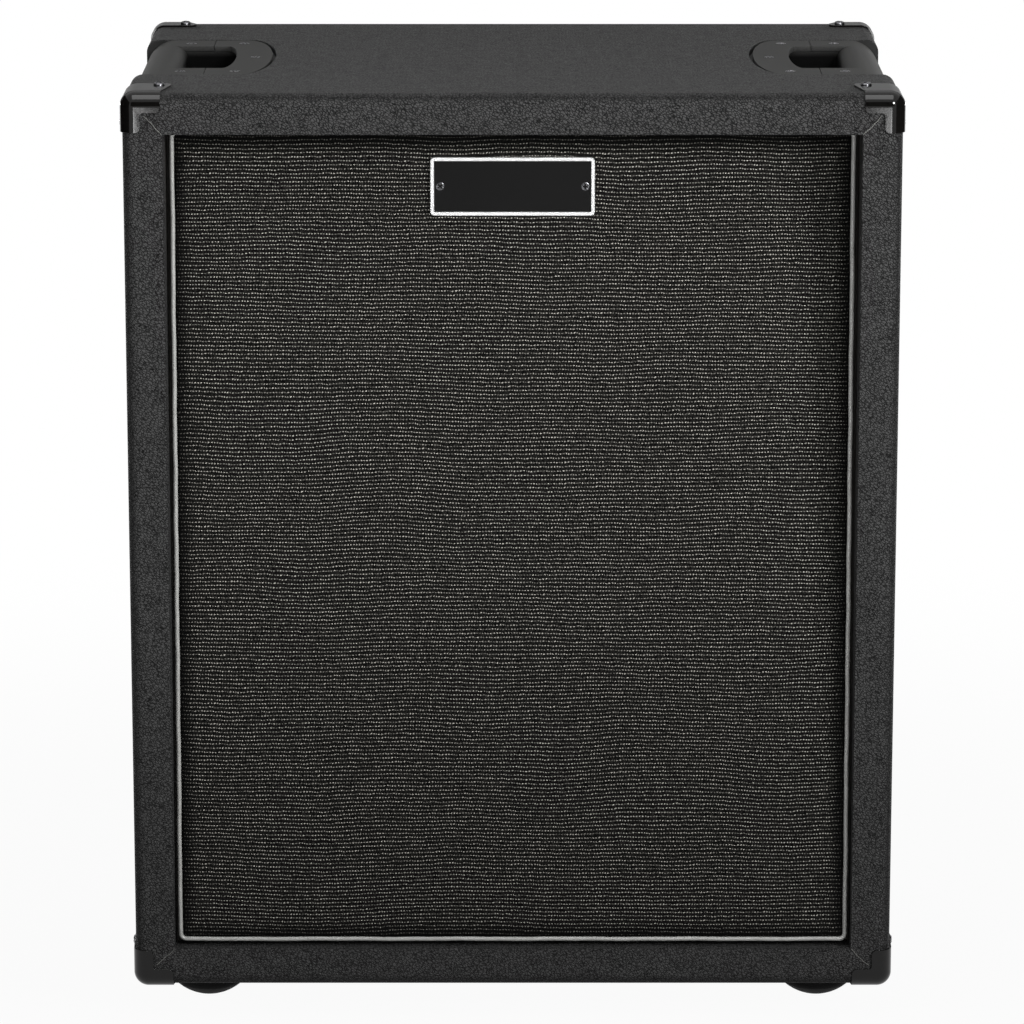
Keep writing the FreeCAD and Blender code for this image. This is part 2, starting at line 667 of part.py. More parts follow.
def make_inner_frame():
    """Front rails, leaning baffle, rear cleats, back panel and the screws that hold them."""
    rail_y = (CARCASS_FRONT_Y, BAFFLE_BACK_Y + GRILLE_LEAN)
    rails = ring_of_bars(ROOM_HALF_WIDTH, ROOM_HALF_HEIGHT, RAIL_WIDTH, rail_y)
    head = (PANEL_SCREW_HEAD_RADIUS, PANEL_SCREW_HEAD_DEPTH, PANEL_SCREW_RADIUS)
    spots = around(
        ROOM_HALF_WIDTH - RAIL_WIDTH / 2,
        ROOM_HALF_HEIGHT - RAIL_WIDTH / 2,
        BAFFLE_SCREW_ACROSS_COUNT,
        BAFFLE_SCREW_UP_COUNT,
    )
    length = BAFFLE_THICKNESS + PANEL_SCREW_BITE
    places = [(V(x, BAFFLE_BACK_Y, MIDDLE_Z + z), V(0, -1, 0)) for x, z in spots]
    sinks = [sink(at, into, *head, length + GLUE_LINE) for at, into in places]
    behind = upright_plate(HALF_WIDTH, CABINET_HEIGHT / 2, 0, (BAFFLE_FRONT_Y, BACK_Y))
    rail_cuts = [leaned(shape) for shape in [behind] + sinks]
    save("front_rails", *[bar.cut(rail_cuts) for bar in rails])
    save_leaned("baffle_screws", *[countersunk(at, into, *head, length) for at, into in places])

    half_width = ROOM_HALF_WIDTH - BAFFLE_GAP
    half_height = ROOM_HALF_HEIGHT - BAFFLE_GAP
    room = upright_plate(half_width, half_height, 0, (CARCASS_FRONT_Y, BACK_Y))
    baffle = upright_plate(half_width, CABINET_HEIGHT / 2, 0, (BAFFLE_FRONT_Y, BAFFLE_BACK_Y))
    through = BAFFLE_THICKNESS + OVERRUN + OVERRUN
    for x, z, _ in SPEAKER_PLACES.values():
        sinks.append(rod(V(x, BAFFLE_FRONT_Y - OVERRUN, z), Y_AXIS, CUTOUT_RADIUS, through))
        sinks += bolt_holes(x, z)
    save("baffle_board", leaned(baffle.cut(sinks)).common(room))

    cleat_y = (BACK_PANEL_IN_Y - CLEAT_DEPTH, BACK_PANEL_IN_Y)
    cleats = ring_of_bars(ROOM_HALF_WIDTH, ROOM_HALF_HEIGHT, CLEAT_WIDTH, cleat_y)
    spots = around(
        ROOM_HALF_WIDTH - CLEAT_WIDTH / 2,
        ROOM_HALF_HEIGHT - CLEAT_WIDTH / 2,
        BACK_SCREW_ACROSS_COUNT,
        BACK_SCREW_UP_COUNT,
    )
    length = BACK_PANEL_THICKNESS + PANEL_SCREW_BITE
    places = [(V(x, BACK_PANEL_OUT_Y, MIDDLE_Z + z), V(0, -1, 0)) for x, z in spots]
    sinks = [sink(at, into, *head, length + GLUE_LINE) for at, into in places]
    save("rear_cleats", *[bar.cut(sinks) for bar in cleats])
    save("back_panel_screws", *[countersunk(at, into, *head, length) for at, into in places])

    edge = COVERING_THICKNESS + GLUE_LINE + BACK_PANEL_GAP
    panel = upright_plate(
        ROOM_HALF_WIDTH - edge,
        ROOM_HALF_HEIGHT - edge,
        BACK_PANEL_CORNER_RADIUS,
        (BACK_PANEL_IN_Y, BACK_PANEL_OUT_Y),
    )
    window = upright_plate(
        JACK_PLATE_WIDTH / 2 - JACK_PLATE_SCREW_INSET * 2,
        JACK_PLATE_HEIGHT / 2 - JACK_PLATE_SCREW_INSET * 2,
        0,
        (BACK_PANEL_IN_Y - OVERRUN, BACK_Y),
        JACK_Z,
    )
    save("back_panel", panel.cut(sinks + [window] + jack_plate_screw_holes()))


def make_covering():
    """Vinyl skin over the carcass, returned into the front and rear openings."""
    skin = COVERING_THICKNESS
    front_plug = (FRONT_Y - OVERRUN, BAFFLE_FRONT_Y - GLUE_LINE)
    rear_plug = (BACK_PANEL_IN_Y + GLUE_LINE, BACK_Y + OVERRUN)
    rear_half_width = ROOM_HALF_WIDTH - GLUE_LINE
    rear_half_height = ROOM_HALF_HEIGHT - GLUE_LINE
    cavity = envelope(-skin)
    cavity = cavity.cut(upright_plate(OPENING_HALF_WIDTH + skin, OPENING_HALF_HEIGHT + skin, 0, front_plug))
    cavity = cavity.cut(upright_plate(rear_half_width, rear_half_height, 0, rear_plug))
    front_hole = (front_plug[0], front_plug[1] + FIT_GAP)
    rear_hole = (rear_plug[0] - FIT_GAP, rear_plug[1])
    covering = envelope(0.0).cut(
        [
            cavity,
            upright_plate(OPENING_HALF_WIDTH, OPENING_HALF_HEIGHT, 0, front_hole),
            upright_plate(rear_half_width - skin, rear_half_height - skin, 0, rear_hole),
        ]
    )
    lip = [edge for edge in covering.Edges if is_border_edge(edge)]
    covering = covering.makeFillet(BORDER_EDGE_RADIUS, lip)
    holes = [shank_hole(at, into, DOME_SCREW_RADIUS, DOME_SCREW_BITE) for at, into in corner_screw_places()]
    holes += [shank_hole(at, Z_AXIS, PANEL_SCREW_RADIUS, PANEL_SCREW_BITE) for at in foot_places()]
    baffle_y = (BAFFLE_FRONT_Y - GLUE_LINE, BAFFLE_BACK_Y)
    holes.append(leaned(upright_plate(ROOM_HALF_WIDTH, ROOM_HALF_HEIGHT, 0, baffle_y)))
    save("vinyl_covering", covering.cut(handle_cuts() + holes))


def is_border_edge(edge):
    """True for the four front edges of the covering round the grille opening."""
    box = edge.BoundBox
    flush = abs(box.YMin - FRONT_Y) < GLUE_LINE and abs(box.YMax - FRONT_Y) < GLUE_LINE
    across = max(abs(box.XMin), abs(box.XMax)) < OPENING_HALF_WIDTH + GLUE_LINE
    up = max(abs(box.ZMin - MIDDLE_Z), abs(box.ZMax - MIDDLE_Z)) < OPENING_HALF_HEIGHT + GLUE_LINE
    return flush and across and up


def grille_plate(inset, y):
    """Plate inside the piping, drawn in from the grille's outer edge."""
    return upright_plate(
        GRILLE_HALF_WIDTH - inset,
        GRILLE_HALF_HEIGHT - inset,
        max(GRILLE_CORNER_RADIUS - inset, 0),
        y,
    )


def rounded_front(plate, radius):
    """Round the edges of a plate's front face."""
    front = [edge for edge in plate.Edges if edge.BoundBox.YMax - plate.BoundBox.YMin < GLUE_LINE]
    return plate.makeFillet(radius, front)


def badge_screw_places():
    """Front point and inward direction of the two badge screws."""
    x = BADGE_WIDTH / 2 - BADGE_SCREW_INSET
    y = CLOTH_FRONT_Y - BADGE_THICKNESS
    return [(V(side * x, y, BADGE_Z), Y_AXIS) for side in (-1, 1)]


def make_grille():
    """Grille frame, cloth, piping, pads and badge."""
    head = (SMALL_SCREW_HEAD_RADIUS, SMALL_SCREW_HEAD_DEPTH, SMALL_SCREW_RADIUS, SMALL_SCREW_BITE)
    screws = badge_screw_places()
    holes = [sink(at, into, *head) for at, into in screws]
    frame_y = (FRAME_FRONT_Y, FRAME_BACK_Y)
    through = (FRAME_FRONT_Y - OVERRUN, FRAME_BACK_Y + OVERRUN)
    inset = FRAME_INSET + GRILLE_FRAME_WIDTH
    edge_radius = GRILLE_FRAME_EDGE_RADIUS
    frame = rounded_front(grille_plate(FRAME_INSET, frame_y), edge_radius).cut(grille_plate(inset, through))
    half = BADGE_WIDTH / 2 + BADGE_TONGUE_MARGIN
    low = BADGE_Z - BADGE_HEIGHT / 2 - BADGE_TONGUE_MARGIN
    tongue_z = (low, MIDDLE_Z + GRILLE_HALF_HEIGHT - inset)
    frame = frame.fuse(block((-half, half), frame_y, tongue_z)).removeSplitter()
    save_leaned("grille_frame", frame.cut(holes))

    pan = grille_plate(CLOTH_INSET, (CLOTH_FRONT_Y, FRAME_BACK_Y))
    pan = rounded_front(pan, edge_radius + FRAME_INSET - CLOTH_INSET)
    hollow = grille_plate(FRAME_INSET - GLUE_LINE, (FRAME_FRONT_Y - GLUE_LINE, FRAME_BACK_Y + OVERRUN))
    hollow = rounded_front(hollow, edge_radius + GLUE_LINE)
    save_leaned("grille_cloth", pan.cut([hollow] + holes))

    y = FRONT_Y + GRILLE_RECESS + PIPING_RADIUS
    path = outline(
        rectangle(
            GRILLE_HALF_WIDTH - PIPING_RADIUS,
            GRILLE_HALF_HEIGHT - PIPING_RADIUS,
            GRILLE_CORNER_RADIUS - PIPING_RADIUS,
            MIDDLE_Z,
        ),
        on_xz(y),
    )
    start = path.Edges[1].valueAt(path.Edges[1].FirstParameter)
    tangent = path.Edges[1].tangentAt(path.Edges[1].FirstParameter)
    section = Part.Wire(Part.Circle(start, tangent, PIPING_RADIUS).toShape())
    save_leaned("grille_piping", path.makePipeShell([section], True, False))

    middle = FRAME_INSET + GRILLE_FRAME_WIDTH / 2
    spots = around(GRILLE_HALF_WIDTH - middle, GRILLE_HALF_HEIGHT - middle, PAD_ACROSS_COUNT, PAD_UP_COUNT)
    pads = []
    for x, z in spots:
        level = abs(z) > GRILLE_HALF_HEIGHT - middle - FIT_GAP
        half_x, half_z = (PAD_LENGTH / 2, PAD_WIDTH / 2) if level else (PAD_WIDTH / 2, PAD_LENGTH / 2)
        pad_z = (MIDDLE_Z + z - half_z, MIDDLE_Z + z + half_z)
        pads.append(block((x - half_x, x + half_x), (FRAME_BACK_Y, BAFFLE_FRONT_Y), pad_z))
    save_leaned("grille_pads", *pads)

    front = CLOTH_FRONT_Y - BADGE_THICKNESS
    half_width = BADGE_WIDTH / 2
    half_height = BADGE_HEIGHT / 2
    rim_y = (front - BADGE_RIM_HEIGHT, CLOTH_FRONT_Y)
    plate = upright_plate(half_width, half_height, BADGE_CORNER_RADIUS, rim_y, BADGE_Z)
    field = upright_plate(
        half_width - BADGE_RIM_WIDTH,
        half_height - BADGE_RIM_WIDTH,
        0,
        (front - OVERRUN, front),
        BADGE_Z,
    )
    save_leaned("badge_plate", plate.cut([field] + holes))
    save_leaned("badge_screws", *[countersunk(at, into, *head) for at, into in screws])


def lobe_outline(setback):
    """Corners of a protector's screw lobe, as (inset from the side edge, distance from the end face)."""
    leg = CORNER_LEG_LENGTH
    reach = CORNER_LOBE_INSET + CORNER_LOBE_RADIUS
    back = setback + CORNER_LOBE_RADIUS
    return [
        (-OVERRUN, -OVERRUN, 0),
        (leg, -OVERRUN, 0),
        (leg, EDGE_RADIUS, 0),
        (reach, setback, CORNER_LEG_END_RADIUS),
        (reach, back, CORNER_LOBE_RADIUS - CORNER_LEG_END_RADIUS),
        (-OVERRUN, back, 0),
    ]


def corner_protector(setback):
    """Protector of the upper left front corner, with its screw lobes set back from the front."""
    leg = CORNER_LEG_LENGTH
    width = CORNER_LEG_WIDTH
    face = [
        (-OVERRUN, -OVERRUN, 0),
        (leg, -OVERRUN, 0),
        (leg, width, CORNER_LEG_END_RADIUS),
        (width, width, CORNER_LEG_FILLET),
        (width, leg, CORNER_LEG_END_RADIUS),
        (-OVERRUN, leg, 0),
    ]
    lobe = lobe_outline(setback)
    front = [(p - HALF_WIDTH, TOP_Z - q, bend) for p, q, bend in face]
    level = [(p - HALF_WIDTH, FRONT_Y + q, bend) for p, q, bend in lobe]
    flank = [(FRONT_Y + q, TOP_Z - p, bend) for p, q, bend in lobe]
    deep = OVERRUN + EDGE_RADIUS
    region = slab(front, on_xz(FRONT_Y - OVERRUN), V(0, deep, 0))
    region = region.fuse(
        [
            slab(level, on_xy(TOP_Z + OVERRUN), V(0, 0, -deep)),
            slab(flank, on_yz(-HALF_WIDTH - OVERRUN), V(deep, 0, 0)),
        ]
    )
    shell = envelope(GLUE_LINE + CORNER_THICKNESS).cut(envelope(GLUE_LINE))
    places = lobe_screw_places(-1, -1, 1, setback)
    holes = [shank_hole(at, into, DOME_SCREW_RADIUS, DOME_SCREW_BITE) for at, into in places]
    return shell.common(region).cut(holes)


def make_corners():
    """Eight corner protectors and their screws."""
    front = corner_protector(FRONT_LOBE_SETBACK)
    rear = corner_protector(REAR_LOBE_SETBACK).mirror(MIDDLE, Y_AXIS)
    for end, upper_left in (("front", front), ("rear", rear)):
        for level, upper in (("top", upper_left), ("bottom", upper_left.mirror(MIDDLE, Z_AXIS))):
            save("%s_%s_left_corner" % (end, level), upper)
            save("%s_%s_right_corner" % (end, level), upper.mirror(MIDDLE, X_AXIS))
    lift = GLUE_LINE + CORNER_THICKNESS
    head = (DOME_SCREW_HEAD_RADIUS, DOME_SCREW_HEAD_HEIGHT, DOME_SCREW_RADIUS, lift + DOME_SCREW_BITE)
    save("corner_screws", *[domed(at - into * lift, into, *head) for at, into in corner_screw_places()])


def dome_centre():
    """Height of the centre of a foot's dome, which runs from the edge of its flat to its brim."""
    spread = FOOT_RADIUS**2 - FOOT_FLAT_RADIUS**2
    return (spread + FOOT_DOME_HEIGHT**2) / FOOT_DOME_HEIGHT / 2


def make_feet():
    """Domed rubber feet with a well for the screw head, and their screws."""
    dome_radius = math.hypot(FOOT_FLAT_RADIUS, dome_centre())
    collar = rod(V(0, 0, 0), Z_AXIS, FOOT_RADIUS, FOOT_HEIGHT)
    foot = collar.common(Part.makeSphere(dome_radius, V(0, 0, dome_centre())))
    brims = [edge for edge in foot.Edges if abs(edge.CenterOfMass.z - FOOT_DOME_HEIGHT) < FIT_GAP]
    foot = foot.makeFillet(FOOT_EDGE_RADIUS, [edge for edge in brims if len(edge.Vertexes) == 1])
    well = rod(V(0, 0, -OVERRUN), Z_AXIS, FOOT_WELL_RADIUS, OVERRUN + FOOT_WELL_DEPTH)
    bore = rod(V(0, 0, 0), Z_AXIS, PANEL_SCREW_RADIUS + GLUE_LINE, FOOT_HEIGHT)
    foot = foot.cut([well, bore])
    feet = []
    screws = []
    for at in foot_places():
        copy = foot.copy()
        copy.translate(V(at.x, at.y, 0))
        feet.append(copy)
        length = FOOT_HEIGHT - FOOT_WELL_DEPTH + PANEL_SCREW_BITE
        under = V(at.x, at.y, FOOT_WELL_DEPTH)
        head = (FOOT_WELL_RADIUS - FIT_GAP, WELL_SCREW_HEAD_HEIGHT, PANEL_SCREW_RADIUS, length)
        screws.append(domed(under, Z_AXIS, *head))
    save("rubber_feet", *feet)
    save("foot_screws", *screws)


def jack_plate_screw_places():
    """Surface point and inward direction of the jack plate's four screws."""
    x = JACK_PLATE_WIDTH / 2 - JACK_PLATE_SCREW_INSET
    z = JACK_PLATE_HEIGHT / 2 - JACK_PLATE_SCREW_INSET
    y = BACK_PANEL_OUT_Y + JACK_PLATE_THICKNESS
    return [(V(side * x, y, JACK_Z + up * z), V(0, -1, 0)) for side in (-1, 1) for up in (-1, 1)]


def jack_plate_screw_holes():
    """Holes for the jack plate's screws through the plate and into the back panel."""
    places = jack_plate_screw_places()
    return [shank_hole(at, into, SMALL_SCREW_RADIUS, JACK_SCREW_LENGTH) for at, into in places]


def make_jacks():
    """Jack plate on the back panel, its screws, the two jacks and their nuts."""
    out = BACK_PANEL_OUT_Y + JACK_PLATE_THICKNESS
    plate = upright_plate(
        JACK_PLATE_WIDTH / 2,
        JACK_PLATE_HEIGHT / 2,
        JACK_PLATE_CORNER_RADIUS,
        (BACK_PANEL_OUT_Y, out),
        JACK_Z,
    )
    head = (SMALL_SCREW_HEAD_RADIUS, SMALL_SCREW_HEAD_DEPTH, SMALL_SCREW_RADIUS, JACK_SCREW_LENGTH)
    holes = jack_plate_screw_holes()
    save("jack_plate_screws", *[domed(at, into, *head) for at, into in jack_plate_screw_places()])
    nuts = []
    for name, x in JACK_PLACES.items():
        tip = V(x, out + JACK_BUSH_STAND, JACK_Z)
        holes.append(rod(tip, V(0, -1, 0), JACK_BUSH_RADIUS + GLUE_LINE, OVERRUN))
        bush = rod(tip, V(0, -1, 0), JACK_BUSH_RADIUS, JACK_BUSH_STAND + JACK_PLATE_THICKNESS)
        body_y = (BACK_PANEL_OUT_Y - JACK_BODY_LENGTH, BACK_PANEL_OUT_Y)
        half = JACK_BODY_SIZE / 2
        body = upright_plate(half, half, 0, body_y, JACK_Z)
        body.translate(V(x, 0, 0))
        lugs = []
        for up in (-1, 1):
            z = JACK_Z + up * JACK_LUG_OFFSET
            lugs.append(
                block(
                    (x - JACK_LUG_WIDTH / 2, x + JACK_LUG_WIDTH / 2),
                    (body_y[0] - JACK_LUG_LENGTH, body_y[0]),
                    (z - JACK_LUG_THICKNESS / 2, z + JACK_LUG_THICKNESS / 2),
                )
            )
        bore = rod(tip, V(0, -1, 0), JACK_BORE_RADIUS, JACK_BORE_DEPTH)
        save(name, body.fuse([bush, *lugs]).removeSplitter().cut(bore))
        nut_bore = JACK_BUSH_RADIUS + GLUE_LINE
        nuts.append(hex_nut(V(x, out, JACK_Z), JACK_NUT_RADIUS, JACK_NUT_THICKNESS, nut_bore))
    save("jack_plate", plate.cut(holes))
    save("jack_nuts", *nuts)


def hex_nut(at, radius, thickness, bore_radius):
    """Six-sided nut with its bore along the depth, standing behind a point."""
    corners = []
    for index in range(6):
        angle = math.radians(60 * index)
        corners.append((at.x + radius * math.cos(angle), at.z + radius * math.sin(angle), 0))
    nut = slab(corners, on_xz(at.y), V(0, thickness, 0))
    return nut.cut(rod(at, Y_AXIS, bore_radius, thickness))


def bolt_angles():
    """Angles of the speaker bolts on their circle."""
    return [2 * math.pi * (index + 1 / 2) / BOLT_COUNT for index in range(BOLT_COUNT)]


def bolt_points(x, z):
    """Where each bolt of a speaker meets the front of the baffle."""
    ring = BOLT_CIRCLE_RADIUS
    return [V(x + ring * math.cos(a), BAFFLE_FRONT_Y, z + ring * math.sin(a)) for a in bolt_angles()]


def bolt_holes(x, z):
    """Holes for a speaker's bolts through baffle, gasket and frame."""
    return [shank_hole(at, Y_AXIS, BOLT_RADIUS, 2 * BAFFLE_THICKNESS) for at in bolt_points(x, z)]


def waves(inner, outer, inner_depth, outer_depth, count, height):
    """Path of arcs that swing to the front and back in turn between two radii."""
    path = []
    for index in range(count):
        share = index / count
        step = 1 / count
        start = (inner + (outer - inner) * share, inner_depth + (outer_depth - inner_depth) * share)
        end = (start[0] + (outer - inner) * step, start[1] + (outer_depth - inner_depth) * step)
        swing = -height if index % 2 == 0 else height
        path.append((start, ((start[0] + end[0]) / 2, (start[1] + end[1]) / 2 + swing), end))
    return path


def flat(inner, outer, depth):
    """Level stretch of a sheet path."""
    return [((inner, depth), ((inner + outer) / 2, depth), (outer, depth))]


def speaker_frame():
    """Pressed frame with its flange, windows, spider shelf and floor."""
    wall = FRAME_WALL
    front = GASKET_THICKNESS
    rise = SHELF_DEPTH - RIM_DEPTH
    run = RIM_RADIUS - SHELF_OUTER_RADIUS
    slant = wall * math.hypot(rise, run) / run
    basket = turned_polygon(
        [
            (FLANGE_RADIUS, front),
            (RIM_RADIUS, front),
            (RIM_RADIUS, RIM_DEPTH),
            (SHELF_OUTER_RADIUS, SHELF_DEPTH),
            (SHELF_INNER_RADIUS, SHELF_DEPTH),
            (SHELF_INNER_RADIUS, FLOOR_DEPTH),
            (FLOOR_BORE_RADIUS, FLOOR_DEPTH),
            (FLOOR_BORE_RADIUS, FRAME_FLOOR_BACK),
            (SHELF_INNER_RADIUS + wall, FRAME_FLOOR_BACK),
            (SHELF_INNER_RADIUS + wall, SHELF_DEPTH + wall),
            (SHELF_OUTER_RADIUS + wall, SHELF_DEPTH + wall),
            (RIM_RADIUS + wall, RIM_DEPTH + slant - wall),
            (RIM_RADIUS + wall, front + wall),
            (FLANGE_RADIUS, front + wall),
        ]
    )
    sweep = 360 / WINDOW_COUNT * WINDOW_SWEEP_SHARE
    deep = SHELF_DEPTH + OVERRUN
    windows = []
    for index in range(WINDOW_COUNT):
        sector = Part.makeCylinder(WINDOW_OUTER_RADIUS, deep, V(0, 0, 0), Y_AXIS, sweep)
        sector = sector.cut(rod(V(0, 0, 0), Y_AXIS, WINDOW_INNER_RADIUS, deep))
        sector.rotate(V(0, 0, 0), Y_AXIS, 360 * index / WINDOW_COUNT)
        windows.append(sector)
    return basket.cut(windows)


def paper_cone():
    """Paper cone with a flat edge ring and a slightly bowed side."""
    edge_in = CONE_RADIUS - CONE_EDGE_WIDTH
    neck = COIL_FORMER_RADIUS + COIL_FORMER_WALL + GLUE_LINE
    crown = ((edge_in + neck) / 2, (CONE_EDGE_DEPTH + CONE_NECK_DEPTH) / 2 + CONE_BOW)
    side = ((neck, CONE_NECK_DEPTH), crown, (edge_in, CONE_EDGE_DEPTH))
    return turned_sheet([side, *flat(edge_in, CONE_RADIUS, CONE_EDGE_DEPTH)], CONE_PAPER)


def cone_depth(radius):
    """Depth of the front of the cone's side at a radius, on its straight chord."""
    edge_in = CONE_RADIUS - CONE_EDGE_WIDTH
    neck = COIL_FORMER_RADIUS + COIL_FORMER_WALL + GLUE_LINE
    return CONE_NECK_DEPTH - (CONE_NECK_DEPTH - CONE_EDGE_DEPTH) * (radius - neck) / (edge_in - neck)


def dust_cap():
    """Shallow dome over the cone's neck."""
    rim = cone_depth(DUST_CAP_RADIUS) - DUST_CAP_SHEET
    top = rim - DUST_CAP_RISE
    radius = DUST_CAP_RADIUS
    middle = (radius * math.sqrt(1 / 2), top + DUST_CAP_RISE * (1 - math.sqrt(1 / 2)))
    front = Part.Arc(V(0, top, 0), V(*middle, 0), V(radius, rim, 0)).toShape()
    back = front.translated(V(0, DUST_CAP_SHEET, 0))
    axis = Part.LineSegment(V(0, top, 0), V(0, top + DUST_CAP_SHEET, 0)).toShape()
    hem = Part.LineSegment(V(radius, rim, 0), V(radius, rim + DUST_CAP_SHEET, 0)).toShape()
    return turned([front, back, axis, hem])


def voice_coil():
    """Former tube with its winding in the magnet gap."""
    inner = COIL_FORMER_RADIUS
    outer = inner + COIL_FORMER_WALL
    wire = outer + COIL_WIRE_WALL
    low = COIL_MIDDLE_DEPTH - COIL_WIRE_HEIGHT / 2
    high = COIL_MIDDLE_DEPTH + COIL_WIRE_HEIGHT / 2
    tail = high + COIL_TAIL
    nose = CONE_NECK_DEPTH
    return turned_polygon(
        [
            (inner, nose),
            (outer, nose),
            (outer, low),
            (wire, low),
            (wire, high),
            (outer, high),
            (outer, tail),
            (inner, tail),
        ]
    )


def surround():
    """Folded edge between the cone and the frame's flange."""
    sheet = SURROUND_SHEET
    inner = CONE_RADIUS - CONE_EDGE_WIDTH
    hem = GASKET_INNER_RADIUS - FIT_GAP
    fold = hem - SURROUND_LEDGE
    near = CONE_EDGE_DEPTH - sheet
    far = GASKET_THICKNESS - sheet
    path = flat(inner, CONE_RADIUS, near)
    path += waves(CONE_RADIUS, fold, near, far, SURROUND_WAVE_COUNT, SURROUND_WAVE_HEIGHT)
    path += flat(fold, hem, far)
    return turned_sheet(path, sheet)


def spider():
    """Folded disc that centres the voice coil on the frame's shelf."""
    sheet = SPIDER_SHEET
    bore = COIL_FORMER_RADIUS + COIL_FORMER_WALL + FIT_GAP
    collar = bore + SPIDER_COLLAR
    depth = SHELF_DEPTH - sheet
    ledge = SHELF_INNER_RADIUS
    hem = SHELF_OUTER_RADIUS - FRAME_WALL
    path = flat(bore, collar, depth)
    path += waves(collar, ledge, depth, depth, SPIDER_WAVE_COUNT, SPIDER_WAVE_HEIGHT)
    path += flat(ledge, hem, depth)
    return turned_sheet(path, sheet)


def disc_ring(inner, outer, start, end):
    """Flat ring about the depth axis between two depths."""
    return turned_polygon([(inner, start), (outer, start), (outer, end), (inner, end)])


def back_plate():
    """Back plate with the pole that stands through the magnet, vented along its axis."""
    pole = COIL_FORMER_RADIUS - COIL_GAP
    end = BACK_PLATE_DEPTH + BACK_PLATE_THICKNESS
    return turned_polygon(
        [
            (POLE_VENT_RADIUS, FRAME_FLOOR_BACK),
            (pole, FRAME_FLOOR_BACK),
            (pole, BACK_PLATE_DEPTH),
            (BACK_PLATE_RADIUS, BACK_PLATE_DEPTH),
            (BACK_PLATE_RADIUS, end),
            (POLE_VENT_RADIUS, end),
        ]
    )


def terminal_depth():
    """Depth of the middle of the terminal strip behind the baffle."""
    return (SHELF_DEPTH + FRAME_WALL + FRAME_FLOOR_BACK) / 2


def terminal_strip(side):
    """Terminal board on the frame's cup with its two lugs, towards the middle of the cabinet."""
    depth = terminal_depth()
    near = SHELF_INNER_RADIUS + FRAME_WALL + GLUE_LINE
    far = near + STRIP_THICKNESS
    y = (depth - STRIP_HEIGHT / 2, depth + STRIP_HEIGHT / 2)
    pieces = [block(sorted((side * near, side * far)), y, (-STRIP_WIDTH / 2, STRIP_WIDTH / 2))]
    for up in (-1, 1):
        z = up * LUG_SPACING / 2
        pieces.append(
            block(
                sorted((side * far, side * (far + LUG_LENGTH))),
                (depth - LUG_WIDTH / 2, depth + LUG_WIDTH / 2),
                (z - LUG_THICKNESS / 2, z + LUG_THICKNESS / 2),
            )
        )
    return pieces


def speaker_bolts(x, z):
    """Bolts through the baffle and the flange, each with its nut."""
    pieces = []
    seat = BAFFLE_BACK_Y + GASKET_THICKNESS + FRAME_WALL
    length = seat - BAFFLE_FRONT_Y + BOLT_NUT_HEIGHT + BOLT_TAIL
    for at in bolt_points(x, z):
        pieces.append(domed(at, Y_AXIS, BOLT_HEAD_RADIUS, BOLT_HEAD_HEIGHT, BOLT_RADIUS, length))
        pieces.append(hex_nut(V(at.x, seat, at.z), BOLT_NUT_RADIUS, BOLT_NUT_HEIGHT, BOLT_RADIUS + GLUE_LINE))
    return pieces


def make_speakers():
    """Both speakers, each piece by piece, with their fixings."""
    floor = FRAME_FLOOR_BACK
    bore = COIL_FORMER_RADIUS + COIL_FORMER_WALL + COIL_WIRE_WALL + COIL_GAP
    pieces = {
        "frame": speaker_frame(),
        "surround": surround(),
        "cone": paper_cone(),
        "dust_cap": dust_cap(),
        "voice_coil": voice_coil(),
        "spider": spider(),
        "top_plate": disc_ring(bore, TOP_PLATE_RADIUS, floor, MAGNET_DEPTH),
        "magnet": disc_ring(MAGNET_BORE_RADIUS, MAGNET_RADIUS, MAGNET_DEPTH, BACK_PLATE_DEPTH),
        "back_plate": back_plate(),
    }
    gasket = disc_ring(GASKET_INNER_RADIUS, FLANGE_RADIUS, 0, GASKET_THICKNESS)
    gaskets = []
    strips = []
    bolts = []
    for name, (x, z, side) in SPEAKER_PLACES.items():
        at = V(x, BAFFLE_BACK_Y, z)
        holes = bolt_holes(x, z)
        for kind, piece in pieces.items():
            placed = piece.translated(at)
            save_leaned("%s_%s" % (name, kind), placed.cut(holes) if kind == "frame" else placed)
        gaskets.append(gasket.translated(at).cut(holes))
        strips += [piece.translated(at) for piece in terminal_strip(side)]
        bolts += speaker_bolts(x, z)
    save_leaned("speaker_gaskets", *gaskets)
    save_leaned("speaker_terminals", *strips)
    save_leaned("speaker_bolts", *bolts)


def main():
    """Build every piece."""
    os.makedirs("parts", exist_ok=True)
    make_panels()
    make_inner_frame()
    make_covering()
    make_grille()
    make_corners()
    make_handles()
    make_feet()
    make_jacks()
    make_speakers()


main()
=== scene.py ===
"""Looks of a closed-back guitar speaker cabinet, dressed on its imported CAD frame.

Metres in Blender. +Z is up, the front faces -Y, and the origin is on the floor under the middle of the cabinet.
Sizes in the classes below are millimetres, as in the part's source, and only the studio's are metres.
"""

import logging
import math
from dataclasses import dataclass, replace
from enum import Enum
from functools import reduce

